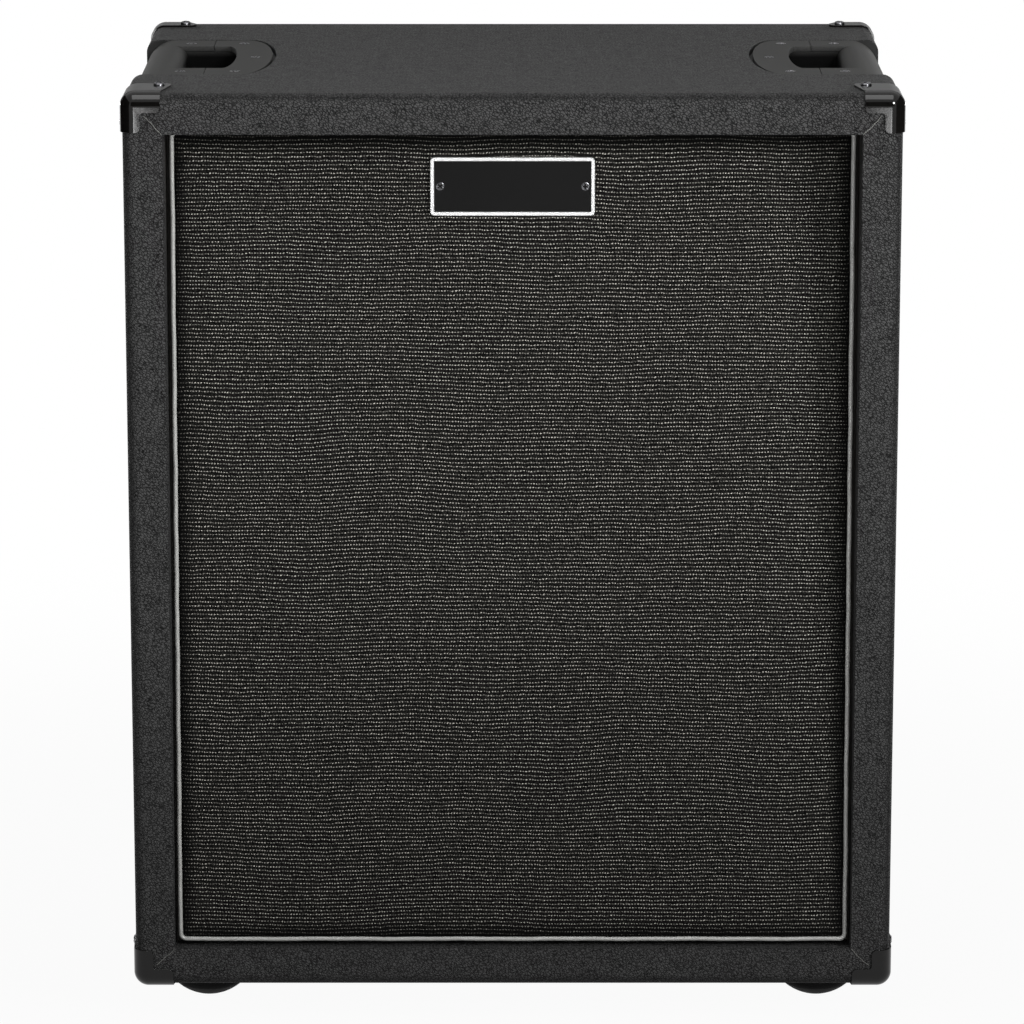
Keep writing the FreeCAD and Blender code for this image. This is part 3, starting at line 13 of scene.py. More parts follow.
import bmesh
import bpy
import numpy as np
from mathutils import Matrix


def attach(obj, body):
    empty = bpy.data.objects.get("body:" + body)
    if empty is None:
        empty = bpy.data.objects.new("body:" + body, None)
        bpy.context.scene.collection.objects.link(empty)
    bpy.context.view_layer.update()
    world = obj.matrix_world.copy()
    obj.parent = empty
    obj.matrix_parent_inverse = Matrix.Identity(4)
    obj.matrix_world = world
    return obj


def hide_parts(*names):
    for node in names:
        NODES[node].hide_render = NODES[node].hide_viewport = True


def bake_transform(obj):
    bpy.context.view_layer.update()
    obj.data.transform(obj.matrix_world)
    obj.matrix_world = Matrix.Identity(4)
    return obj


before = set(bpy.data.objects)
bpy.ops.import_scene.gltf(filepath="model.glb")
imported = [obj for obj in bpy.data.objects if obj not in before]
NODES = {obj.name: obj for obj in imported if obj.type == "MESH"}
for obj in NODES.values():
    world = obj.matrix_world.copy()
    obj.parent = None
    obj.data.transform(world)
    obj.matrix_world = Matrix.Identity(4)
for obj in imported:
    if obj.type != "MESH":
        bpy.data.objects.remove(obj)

Mesh = bpy.types.Mesh
Node = bpy.types.Node
Piece = bpy.types.Object
Socket = bpy.types.NodeSocket
Sockets = bpy.types.NodeOutputs
Tree = bpy.types.NodeTree
Pair = tuple[float, float]
Triple = tuple[float, float, float]

MM = 0.001
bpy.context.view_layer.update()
LOG = logging.getLogger("cabinet")
CABINET = "cabinet"
# Faces of the covered box, its middle height and its half sizes.
FRONT = -200.0
BACK_BOARD = 194.0
TOP = 741.0
BOTTOM = 25.0
MIDDLE = 383.0
HALF_WIDTH = 300.0
HALF_HEIGHT = 358.0
# Baffle and grille lean back about this depth and height.
LEAN = math.radians(3.0)
LEAN_PIVOT = (-168.4, 49.8)
# Points of a mesh that lie closer than this are one.
WELD = 0.002
# Mottle of a plain finish: spots across one cloud, weight of the clouds, and a level that keeps the mean tone.
CLOUD = (30.0, 0.45, -0.22)


def leaned(points: np.ndarray) -> np.ndarray:
    """Turn points back with the leaning baffle.

    Depth and height turn by the lean about the baffle's lowest row of screws, and the place across stays.

    Args:
        points: Upright points, with x, y and z on the last axis.

    Returns:
        The leaning points.
    """
    depth, height = points[..., 1] - LEAN_PIVOT[0], points[..., 2] - LEAN_PIVOT[1]
    back = LEAN_PIVOT[0] + depth * math.cos(LEAN) + height * math.sin(LEAN)
    rise = LEAN_PIVOT[1] - depth * math.sin(LEAN) + height * math.cos(LEAN)
    return np.stack([points[..., 0], back, rise], axis=-1)


def linear(code: str) -> tuple[float, ...]:
    """Turn an sRGB hex code into linear RGBA.

    Args:
        code: Colour such as "#1a1a1c".

    Returns:
        Red, green, blue and alpha for a shader socket.
    """
    shares = np.array([int(code[place:place + 2], 16) for place in (1, 3, 5)]) / 255
    colour = np.where(shares <= 0.04045, shares / 12.92, ((shares + 0.055) / 1.055) ** 2.4)
    return (*colour.tolist(), 1.0)


def add(tree: Tree, kind: str, inputs: dict | tuple = (), **settings) -> Node:
    """Add a node with its settings, and link or set its inputs.

    Args:
        tree: Tree that gets the node.
        kind: Blender's type name of the node without "ShaderNode", and a math node's operation after a dot.
        inputs: What goes to each input, in order or by name or number: a value, a socket or a node's first output.
        settings: Properties of the node.

    Returns:
        The new node.
    """
    kind, _, operation = kind.partition(".")
    node = tree.nodes.new(f"ShaderNode{kind}")
    if operation:
        settings["operation"] = operation
    for name, value in settings.items():
        setattr(node, name, value)
    for key, value in inputs.items() if isinstance(inputs, dict) else enumerate(inputs):
        if isinstance(value, (Node, Socket)):
            tree.links.new(value.outputs[0] if isinstance(value, Node) else value, node.inputs[key])
        else:
            node.inputs[key].default_value = value
    return node


def smooth(mesh: Mesh, angle: float) -> None:
    """Shade a mesh smooth, with edges above an angle in degrees left sharp."""
    mesh.shade_smooth()
    mesh.set_sharp_from_angle(angle=math.radians(angle))


def surface(name: str, grids: list[np.ndarray], closed: bool = True, angle: float = 38.0) -> Piece:
    """Join grids of points into one mesh object.

    A grid holds points P[i, j] in mm, and a face joins P[i, j], P[i, j+1], P[i+1, j+1] and P[i+1, j].

    Args:
        name: Name of the piece.
        grids: Arrays of shape rows, columns, 3.
        closed: Whether seams and poles are welded and the faces turned outwards.
        angle: Edges above this angle in degrees stay sharp.

    Returns:
        The object, linked to the scene at the origin.
    """
    faces = []
    first = 0
    for grid in grids:
        rows, columns = grid.shape[:2]
        index = first + np.arange(rows * columns).reshape(rows, columns)
        quads = [index[:-1, :-1], index[:-1, 1:], index[1:, 1:], index[1:, :-1]]
        faces.append(np.stack(quads, axis=-1).reshape(-1, 4))
        first += rows * columns
    points = np.concatenate([grid.reshape(-1, 3) for grid in grids]) * MM
    mesh = bpy.data.meshes.new(name)
    mesh.from_pydata(points.tolist(), [], np.concatenate(faces).tolist())
    if closed:
        weld(mesh)
    smooth(mesh, angle)
    piece = bpy.data.objects.new(name, mesh)
    bpy.context.scene.collection.objects.link(piece)
    return piece


def weld(mesh: Mesh) -> None:
    """Merge points that coincide, drop the faces that vanish and turn the rest outwards.

    Args:
        mesh: Mesh that is changed in place.
    """
    shell = bmesh.new()
    shell.from_mesh(mesh)
    bmesh.ops.remove_doubles(shell, verts=shell.verts, dist=WELD * MM)
    bmesh.ops.dissolve_degenerate(shell, edges=shell.edges, dist=WELD / 2 * MM)
    bmesh.ops.recalc_face_normals(shell, faces=shell.faces)
    shell.to_mesh(mesh)
    shell.free()


def rounded_path(half: Pair, radius: float, step: float) -> tuple[np.ndarray, np.ndarray]:
    """Walk round a rectangle with rounded corners, about the origin.

    Each corner is a quarter circle about its own centre, and straight runs join the ends of the quarters.

    Args:
        half: Half of the outside width and height.
        radius: Corner radius.
        step: Spacing of points on the straight runs.

    Returns:
        Points and outward normals, both of shape count, 2, with the first point repeated at the end.
    """
    turn = np.linspace(0, math.pi / 2, 13)
    points, normals = [], []
    for quarter, (side, up) in enumerate(((1, 1), (-1, 1), (-1, -1), (1, -1))):
        angle = turn + quarter * math.pi / 2
        out = np.stack([np.cos(angle), np.sin(angle)], axis=-1)
        centre = np.array([side * (half[0] - radius), up * (half[1] - radius)])
        points.append(centre + radius * out)
        normals.append(out)
        run = 2 * (half[quarter % 2] - radius)
        share = np.linspace(0, 1, max(int(run / step), 2))[1:-1, None]
        ahead = np.array([-out[-1][1], out[-1][0]])
        points.append(points[-1][-1] + share * run * ahead)
        normals.append(np.repeat(out[-1:], len(share), axis=0))
    return np.concatenate([*points, points[0][:1]]), np.concatenate([*normals, normals[0][:1]])


def swept(path: np.ndarray, normals: np.ndarray, profile: np.ndarray, middle: float) -> np.ndarray:
    """Carry a profile along a path in an upright plane.

    Point i, j is path point i, moved out along its normal by the profile's first value and set at its second as depth.

    Args:
        path: Points on the plane, as across and up.
        normals: Outward directions at those points.
        profile: Pairs of outward offset and depth.
        middle: Height of the path's origin.

    Returns:
        Grid of points.
    """
    spread = path[:, None, :] + normals[:, None, :] * profile[None, :, :1]
    depth = np.broadcast_to(profile[None, :, 1], spread.shape[:2])
    return np.stack([spread[..., 0], depth, spread[..., 1] + middle], axis=-1)


@dataclass(frozen=True)
class Finish:
    """Surface of one real material, as two tones with a mottle, its gloss and its relief.

    Attributes:
        name: Material and process.
        low: Colour in the hollows.
        high: Colour on the high spots.
        grain: Width of one spot of the mottle.
        rough: Roughness in the hollows and on the high spots.
        relief: Depth of the relief.
        metallic: 1 for bare metal.
        specular: Specular level of the shader.
        stretch: How much longer a spot is along X, Y and Z.
    """

    name: str
    low: str
    high: str
    grain: float
    rough: Pair
    relief: float = 0.0
    metallic: float = 0.0
    specular: float = 0.5
    stretch: Triple = (1.0, 1.0, 1.0)

    def pattern(self, tree: Tree, place: Socket) -> tuple[Node, Node]:
        """Fine noise at the grain's width, and broad clouds of it added.

        Args:
            tree: Tree of the material.
            place: Object coordinates in metres.

        Returns:
            Tone and height, both about 0 to 1.
        """
        width, weight, level = CLOUD
        scale = 1 / (self.grain * MM)
        squeeze = add(tree, "Mapping", {"Vector": place, "Scale": [1 / share for share in self.stretch]})
        fine = add(tree, "TexNoise", {"Vector": squeeze, "Scale": scale, "Detail": 3.0})
        broad = add(tree, "TexNoise", {"Vector": squeeze, "Scale": scale / width, "Detail": 2.0})
        cloud = add(tree, "Math.MULTIPLY_ADD", (broad, weight, level))
        return add(tree, "Math.ADD", (fine, cloud), use_clamp=True), fine

    def material(self) -> bpy.types.Material:
        """Build the shader once, and hand out the same material after that.

        Returns:
            The material.
        """
        made = bpy.data.materials.get(self.name)
        if made is None:
            made = bpy.data.materials.new(self.name)
            made.use_nodes = True
            self.shade(made.node_tree, made.node_tree.nodes["Principled BSDF"])
        return made

    def shade(self, tree: Tree, shader: Node) -> None:
        """Set the shader's even values, and drive colour, roughness and relief by the pattern.

        Args:
            tree: Tree of the material.
            shader: Its principled shader.
        """
        shader.inputs["Metallic"].default_value = self.metallic
        shader.inputs["Specular IOR Level"].default_value = self.specular
        tone, height = self.pattern(tree, add(tree, "TexCoord").outputs["Object"])
        # A Mix node takes its two colours at inputs 6 and 7 and gives one at output 2.
        colour = add(tree, "Mix", {0: tone, 6: linear(self.low), 7: linear(self.high)}, data_type="RGBA")
        rough = add(tree, "MapRange", (tone, 0.0, 1.0, *self.rough))
        tree.links.new(colour.outputs[2], shader.inputs["Base Color"])
        tree.links.new(rough.outputs[0], shader.inputs["Roughness"])
        if self.relief:
            bump = add(tree, "Bump", {"Height": height, "Distance": self.relief * MM, "Strength": 1.0})
            tree.links.new(bump.outputs[0], shader.inputs["Normal"])


@dataclass(frozen=True)
class Leathercloth(Finish):
    """Embossed covering, a net of creases round pebbles of uneven size.

    Attributes:
        slant: Direction in which the pebbles are drawn out, in degrees.
        drift: Width of the noise that pulls creases about, and how far it does, in grains.
        crease: How far from a crease a pebble has its full height, in grains.
        pores: Fine spots in one grain, and their weight.
        pebbles: Weight of pebbles and pores in the tone.
        cloud: Width of a cloud in grains, its weight, and a level that keeps the mean tone.
        edge_shade: Largest part of the normal on a round edge and on a flat face, and the share of the tone left at the
            edge by painted shade.
    """

    slant: float = 35.0
    drift: Pair = (2.2, 0.8)
    crease: float = 0.21
    pores: Pair = (1.9, 0.4)
    pebbles: float = 0.72
    cloud: Triple = (6.0, 0.44, -0.29)
    edge_shade: Triple = (0.72, 0.98, 0.42)

    def pattern(self, tree: Tree, place: Socket) -> tuple[Node, Node]:
        """Cells drawn out along a slant, their edges moved about by noise: low at an edge, high and round inside, the
        dark creases partly painted shade.

        On a round edge, where the normal lies between two axes, the tone is darker: painted shade where the light falls
        off round the edge.

        Args:
            tree: Tree of the material.
            place: Object coordinates in metres.

        Returns:
            Tone and height, both about 0 to 1.
        """
        scale = 1 / (self.grain * MM)
        turn = (0.0, math.radians(self.slant), 0.0)
        slant = add(tree, "Mapping", {"Vector": place, "Rotation": turn, "Scale": self.stretch}, vector_type="TEXTURE")
        noise = add(tree, "TexNoise", {"Vector": place, "Scale": scale / self.drift[0], "Detail": 2.0})
        pull = add(tree, "VectorMath.SUBTRACT", (noise.outputs["Color"], (0.5, 0.5, 0.5)))
        reach = [self.grain * MM * self.drift[1]] * 3
        moved = add(tree, "VectorMath.MULTIPLY_ADD", (pull, reach, slant))
        cells = add(tree, "TexVoronoi", {"Vector": moved, "Scale": scale}, feature="DISTANCE_TO_EDGE")
        pebble = add(tree, "MapRange", (cells, 0.0, self.crease), interpolation_type="SMOOTHSTEP")
        fine = add(tree, "TexNoise", {"Vector": slant, "Scale": scale * self.pores[0], "Detail": 2.0})
        height = add(tree, "Math.MULTIPLY_ADD", (fine, self.pores[1], pebble))
        broad = add(tree, "TexNoise", {"Vector": place, "Scale": scale / self.cloud[0], "Detail": 3.0})
        cloud = add(tree, "Math.MULTIPLY_ADD", (broad, *self.cloud[1:]))
        mixed = add(tree, "Math.MULTIPLY_ADD", (height, self.pebbles, cloud), use_clamp=True)
        # Painted shade on the round edges: the tone falls where the normal lies between two axes.
        size = add(tree, "VectorMath.ABSOLUTE", (add(tree, "TexCoord").outputs["Normal"],))
        axes = add(tree, "SeparateXYZ", (size,)).outputs
        level = add(tree, "Math.MAXIMUM", (axes["X"], axes["Y"]))
        most = add(tree, "Math.MAXIMUM", (level, axes["Z"]))
        edge_shade = add(tree, "MapRange", (most, *self.edge_shade))
        return add(tree, "Math.MULTIPLY", (mixed, edge_shade)), height


@dataclass(frozen=True)
class GrilleWeave(Finish):
    """Loudspeaker cloth, dark yarns with rows of short pale floats.

    Attributes:
        row: Spacing of the rows of floats.
        pitch: Spacing of the floats along a row.
        float_size: Length and height of one float.
        soft_edge: Where a float fades out and where it is full, in half floats from its middle.
        strength: Tone of the dullest and the brightest float.
        sway: Width and height of the slow waves in the rows.
        shake: Width of the quick waves, their height in rows and their shift along in floats.
        lump: Width of a lump in the faint yarn, and the noise where it begins and where it is full.
        yarn: Where the faint yarn ends and where it is full, in half floats from the row's middle, and both tones.
        half: Half width and half height of the stretched front.
        hem: Width of the strip by the piping that gets painted shade, and the share of the tone left there.
    """

    row: float = 3.2
    pitch: float = 2.25
    float_size: Pair = (1.25, 1.0)
    soft_edge: Pair = (1.25, 0.45)
    strength: Pair = (0.2, 1.0)
    sway: Pair = (120.0, 11.0)
    shake: Triple = (6.0, 0.55, 1.2)
    lump: Triple = (1.3, 0.38, 0.72)
    yarn: tuple[float, ...] = (1.1, 0.2, 0.03, 0.16)
    half: Pair = (262.0, 319.0)
    hem: Pair = (15.0, 0.12)

    def pattern(self, tree: Tree, place: Socket) -> tuple[Node, Node]:
        """Each float is a soft ellipse in a cell of one pitch by one row, and its brightness is drawn per cell.

        The rows sway by slow noise, each row starts at its own place, the floats shift a little along it, and a
        faint yarn runs along the row between them. By the piping the threads fade to black as painted shade.

        Args:
            tree: Tree of the material.
            place: Object coordinates in metres.

        Returns:
            Tone and height, both about 0 to 1.
        """
        slow = add(tree, "TexNoise", {"Vector": place, "Scale": 1 / (self.sway[0] * MM), "Detail": 1.5})
        quick = add(tree, "TexNoise", {"Vector": place, "Scale": 1 / (self.shake[0] * MM), "Detail": 1.0})
        axes = add(tree, "SeparateXYZ", (place,)).outputs
        sag = add(tree, "Math.MULTIPLY", (slow, self.sway[1] / self.row))
        rows = add(tree, "Math.MULTIPLY_ADD", (axes["Z"], 1 / (self.row * MM), sag))
        wobble = add(tree, "Math.MULTIPLY_ADD", (quick, self.shake[1], rows))
        row = add(tree, "Math.FLOOR", (wobble,))
        across = add(tree, "Math.SUBTRACT", (wobble, row))
        start = add(tree, "TexWhiteNoise", {"W": row}, noise_dimensions="1D")
        shift = add(tree, "Math.MULTIPLY_ADD", (quick, self.shake[2], start))
        run = add(tree, "Math.MULTIPLY_ADD", (axes["X"], 1 / (self.pitch * MM), shift))
        cell = add(tree, "Math.FLOOR", (run,))
        along = add(tree, "Math.SUBTRACT", (run, cell))
        where = add(tree, "CombineXYZ", (along, across))
        offset = add(tree, "VectorMath.SUBTRACT", (where, (0.5, 0.5, 0.0)))
        spread = (2 * self.pitch / self.float_size[0], 2 * self.row / self.float_size[1], 0.0)
        scaled = add(tree, "VectorMath.MULTIPLY", (offset, spread))
        far = add(tree, "VectorMath.LENGTH", (scaled,)).outputs["Value"]
        float_ = add(tree, "MapRange", (far, *self.soft_edge), interpolation_type="SMOOTHSTEP")
        key = add(tree, "CombineXYZ", (cell, row))
        draw = add(tree, "TexWhiteNoise", {"Vector": key}, noise_dimensions="2D")
        strength = add(tree, "MapRange", (draw, 0.0, 1.0, *self.strength))
        bright = add(tree, "Math.MULTIPLY", (float_, strength))
        off = add(tree, "Math.ABSOLUTE", (add(tree, "SeparateXYZ", (scaled,)).outputs["Y"],))
        lumps = add(tree, "TexNoise", {"Vector": place, "Scale": 1 / (self.lump[0] * MM), "Detail": 2.0})
        faint = add(tree, "MapRange", (off, *self.yarn))
        ground = add(tree, "MapRange", (lumps, *self.lump[1:], 0.0, faint))
        weave = add(tree, "Math.MAXIMUM", (bright, ground))
        # Painted shade: the tone falls towards black in a strip along the piping.
        centred = add(tree, "VectorMath.SUBTRACT", (place, (0.0, 0.0, MIDDLE * MM)))
        out = add(tree, "VectorMath.ABSOLUTE", (centred,))
        edges = (self.half[0] * MM, 1.0, self.half[1] * MM)
        left = add(tree, "VectorMath.SUBTRACT", (edges, out))
        sides = add(tree, "SeparateXYZ", (left,)).outputs
        nearest = add(tree, "Math.MINIMUM", (sides["X"], sides["Z"]))
        hem_shade = add(tree, "MapRange", (nearest, 0.0, self.hem[0] * MM, self.hem[1]), interpolation_type="SMOOTHSTEP")
        return add(tree, "Math.MULTIPLY", (weave, hem_shade)), weave


@dataclass(frozen=True)
class Overlaid(Finish):
    """Surface with a second colour over a part of it.

    Attributes:
        over: The second colour, never bare metal.
        limits: Axis, distance and comparison of each plane that bounds the part.
    """

    over: str = "#050505"
    limits: tuple[tuple[str, float, str], ...] = ()

    def mask(self, tree: Tree, axes: Sockets) -> Node:
        """One where a place meets every limit: the product of the comparisons.

        Args:
            tree: Tree of the material.
            axes: Distances from the middle plane, the mid depth and the floor in metres, all positive.

        Returns:
            Share from 0 to 1 that the second colour covers.
        """
        met = [add(tree, f"Math.{side}", (axes[axis], limit * MM)) for axis, limit, side in self.limits]
        return reduce(lambda one, two: add(tree, "Math.MULTIPLY", (one, two)), met)

    def shade(self, tree: Tree, shader: Node) -> None:
        """Mix the second colour over the plain shading.

        Args:
            tree: Tree of the material.
            shader: Its principled shader.
        """
        super().shade(tree, shader)
        under = shader.inputs["Base Color"].links[0].from_socket
        size = add(tree, "VectorMath.ABSOLUTE", (add(tree, "TexCoord").outputs["Object"],))
        mask = self.mask(tree, add(tree, "SeparateXYZ", (size,)).outputs)
        colour = add(tree, "Mix", {0: mask, 6: under, 7: linear(self.over)}, data_type="RGBA")
        tree.links.new(colour.outputs[2], shader.inputs["Base Color"])
        if self.metallic:
            bare = add(tree, "Math.SUBTRACT", (self.metallic, mask))
            tree.links.new(bare.outputs[0], shader.inputs["Metallic"])


@dataclass(frozen=True)
class ShadedPocket(Overlaid):
    """Moulded handle with painted shade down in its finger pocket.

    Attributes:
        depth: Depth under the outside, where the painted shade begins and where the tone is least.
        corner: Radius of the handle's outside at the edge of the cabinet.
    """

    depth: Pair = (1.2, 9.0)
    corner: float = 24.0

    def mask(self, tree: Tree, axes: Sockets) -> Node:
        """Share of painted shade, which rises with the depth under the top, the side and the round edge between them.

        The depth is the radius less the distance from the edge's centre line, in the quarter outside that line.

        Args:
            tree: Tree of the material.
            axes: Distances from the middle plane, the mid depth and the floor in metres.

        Returns:
            Share from 0 to 1.
        """
        place = add(tree, "CombineXYZ", {0: axes["X"], 2: axes["Z"]})
        centre = ((HALF_WIDTH - self.corner) * MM, 0.0, (TOP - self.corner) * MM)
        past = add(tree, "VectorMath.SUBTRACT", (place, centre))
        outside = add(tree, "VectorMath.MAXIMUM", (past, (0.0, 0.0, 0.0)))
        far = add(tree, "VectorMath.LENGTH", (outside,)).outputs["Value"]
        deep = add(tree, "Math.SUBTRACT", (self.corner * MM, far))
        return add(tree, "MapRange", (deep, self.depth[0] * MM, self.depth[1] * MM))


# Leathercloth, PVC on a woven back, embossed with a hide grain: soft black pebbles between darker creases, dull gloss;
# the creases' dark is partly painted shade, and painted shade darkens the round edges.
VINYL = Leathercloth("pvc_leathercloth_embossed", "#020202", "#3b3b3b", 1.65, (0.84, 0.7), 0.35, specular=0.13,
                     stretch=(1.8, 1.0, 1.0))
# Back panel, board faced with the covering's own cloth.
BACKING = replace(VINYL, name="board_faced_with_leathercloth")
# The cloth's cut and turned edge at the mitres: the pale woven back shows as a thin line.
SEAM = Finish("pvc_leathercloth_cut_edge", "#333332", "#767672", 1.6, (0.7, 0.9), 0.05, specular=0.2)
# Grille cloth, woven of black and silver-grey polypropylene yarn: rows of small pale floats on a dark ground, with
# painted shade by the piping.
CLOTH = GrilleWeave("polypropylene_grille_cloth_woven", "#040404", "#9f9c95", 1.4, (0.9, 0.7), 0.15, specular=0.03)
# Piping, soft grey PVC extruded over a cord: an even satin bead with slight waves.
BEAD = Finish("grey_pvc_piping_extruded", "#767673", "#929290", 9.0, (0.26, 0.36), 0.03)
# Corner protectors, pressed steel with stoved enamel: deep black, sharp reflections with a faint orange peel.
ENAMEL = Finish("black_enamel_stoved_on_pressed_steel", "#050505", "#0b0a09", 2.4, (0.07, 0.1), 0.008, specular=0.25)
# Handles, glass-filled nylon with a spark-eroded mould texture: even dark grey, a fine dry grain, and painted shade
# that turns the finger pocket black.
NYLON = ShadedPocket("nylon_moulded_spark_texture", "#242424", "#3c3c3b", 1.1, (0.58, 0.74), 0.05, specular=0.04)
# Feet, moulded rubber: dull black with a dusty bloom.
RUBBER = Finish("black_rubber_moulded", "#060606", "#141414", 5.0, (0.7, 0.85), 0.03, specular=0.12)
# Badge rim, aluminium rolled bright: nearly white, with fine lines along the plate.
RIM = Finish("aluminium_rolled_bright", "#cfd0d0", "#f2f2f2", 0.7, (0.24, 0.36), 0.0, 1.0, stretch=(25.0, 1.0, 1.0))
# Badge field, sprayed lacquer on the same plate: smooth black with a soft shine.
LACQUER = Finish("black_lacquer_sprayed", "#060606", "#0c0c0c", 1.6, (0.3, 0.42), 0.008, specular=0.08)
# Outside screws, steel with black oxide: dark, with a dull metal glint on the rim and round the recess.
OXIDE = Finish("steel_screw_black_oxide", "#1c1c1d", "#78787b", 1.6, (0.2, 0.36), 0.01, 1.0)
# Inside screws, zinc-plated steel: pale grey metal.
ZINC = Finish("steel_screw_zinc_plated", "#8d9093", "#c2c5c8", 2.0, (0.24, 0.38), 0.01, 1.0)
# Jack plate, powder-coated steel: black with a fine pebbled skin.
POWDER = Finish("steel_plate_powder_coated", "#0f0f10", "#242425", 0.9, (0.42, 0.55), 0.06)
# Jacks, a nickel-plated bush on a black moulded body, which lies on the inside of the board.
JACK = Overlaid("jack_nickel_bush_on_moulded_body", "#a9a59c", "#d8d5cd", 1.2, (0.14, 0.26), 0.0, 1.0, over="#151515",
                limits=(("Y", BACK_BOARD, "LESS_THAN"),))
# Jack nuts, nickel-plated brass: warm pale metal with turning marks.
NICKEL = Finish("brass_nut_nickel_plated", "#aaa69d", "#dcd9d1", 0.8, (0.16, 0.3), 0.01, 1.0)
# Carcass, birch plywood: pale cream with grain along the panel, and black paint sprayed into the handle seats.
BIRCH = Overlaid("birch_plywood_sanded", "#b58d5b", "#d9b98a", 1.2, (0.5, 0.62), 0.05, specular=0.3,
                 stretch=(1.0, 22.0, 22.0),
                 limits=(("X", 170.0, "GREATER_THAN"), ("Y", 112.0, "LESS_THAN"), ("Z", 610.0, "GREATER_THAN")))
# Baffle, rails, cleats and grille frame, plywood stained black: the grain shows through a thin black stain.
STAIN = Finish("plywood_stained_black", "#0f0e0d", "#2a2724", 1.4, (0.6, 0.74), 0.06, stretch=(22.0, 1.0, 1.0))
# Hook pads, nylon hook tape: black with a rough pile.
TAPE = Finish("nylon_hook_tape", "#0b0b0b", "#2c2c2c", 0.8, (0.8, 0.95), 0.3)
# Speaker frames, pressed steel with semi-gloss paint.
PRESSED = Finish("pressed_steel_painted_black", "#0e0e0f", "#1d1d1e", 2.5, (0.34, 0.46), 0.02)
# Surrounds, the cone's folded cloth edge with tacky dope: dark, slightly shiny.
DOPED = Finish("cloth_surround_doped", "#141312", "#2c2a27", 0.9, (0.35, 0.6), 0.08)
# Spiders, cotton stiffened with resin: amber weave.
RESIN = Finish("cotton_spider_resin_stiffened", "#8a5f2a", "#c29452", 0.8, (0.6, 0.75), 0.1)
# Cones and dust caps, felted paper pulp: dark grey fibres.
PULP = Finish("paper_pulp_felted", "#1c1b1a", "#383633", 1.1, (0.75, 0.9), 0.09, stretch=(3.0, 1.0, 1.0))
# Voice coils, enamelled copper wire wound on a former.
COPPER = Finish("copper_wire_wound", "#8f4a22", "#c97b48", 0.5, (0.25, 0.4), 0.03, 1.0, stretch=(12.0, 1.0, 12.0))
# Pole plates, mild steel with bright zinc.
POLE = Finish("mild_steel_zinc_passivated", "#83868a", "#b4b7ba", 3.0, (0.28, 0.42), 0.01, 1.0)
# Magnets, sintered ferrite: charcoal with ground faces.
FERRITE = Finish("ferrite_sintered", "#1b1c1e", "#34363a", 1.3, (0.5, 0.66), 0.03)
# Gaskets, pressed fibre board: grey-black with short fibres.
FIBRE = Finish("fibre_board_pressed", "#1d1c1b", "#3b3936", 1.0, (0.8, 0.92), 0.08)
# Terminals, tinned brass lugs on a paper laminate strip.
BRASS = Finish("brass_lug_tinned", "#8c7b4f", "#cbb988", 1.0, (0.3, 0.45), 0.01, 1.0)
# Flags round the set, wool felt: no light comes back from it.
FELT = Finish("wool_felt_black", "#010101", "#030303", 4.0, (0.95, 1.0), specular=0.0)
# Backdrop that only mirrors see, grey paper: a soft sheen on what faces up.
PAPER = Finish("grey_backdrop_paper", "#7c7c7c", "#888888", 8.0, (0.9, 1.0), specular=0.0)

SPEAKER_FINISHES = {
    "frame": PRESSED, "cone": PULP, "dust_cap": PULP, "voice_coil": COPPER, "spider": RESIN, "top_plate": POLE,
    "magnet": FERRITE, "back_plate": POLE,
}
INNER_FINISHES = {
    "top_panel": BIRCH, "bottom_panel": BIRCH, "left_side_panel": BIRCH, "right_side_panel": BIRCH,
    "front_rails": STAIN, "rear_cleats": STAIN, "baffle_board": STAIN, "grille_frame": STAIN, "baffle_screws": ZINC,
    "grille_pads": TAPE, "speaker_gaskets": FIBRE, "speaker_terminals": BRASS, "speaker_bolts": ZINC,
}
CONNECTION_FINISHES = {
    "input_jack": JACK, "link_jack": JACK, "jack_nuts": NICKEL, "foot_screws": ZINC, "rubber_feet": RUBBER,
}


def dress(piece: Piece, finish: Finish) -> Piece:
    """Give a piece its finish in all its material slots, and report it.

    Args:
        piece: New piece or CAD node.
        finish: Its surface.

    Returns:
        The same piece.
    """
    if not piece.material_slots:
        piece.data.materials.append(None)
    for slot in piece.material_slots:
        slot.material = finish.material()
    LOG.info("%s in %s", piece.name, finish.name)
    return piece


def stand_for(piece: Piece, finish: Finish, slot: str, *nodes: str) -> None:
    """Dress a new piece of the cabinet and let it stand for CAD nodes.

    Args:
        piece: New piece, in place.
        finish: Its surface.
        slot: The record's material slot, not used.
        nodes: CAD nodes that it replaces.
    """
    dress(piece, finish)
    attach(piece, CABINET)
    if nodes:
        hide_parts(*nodes)


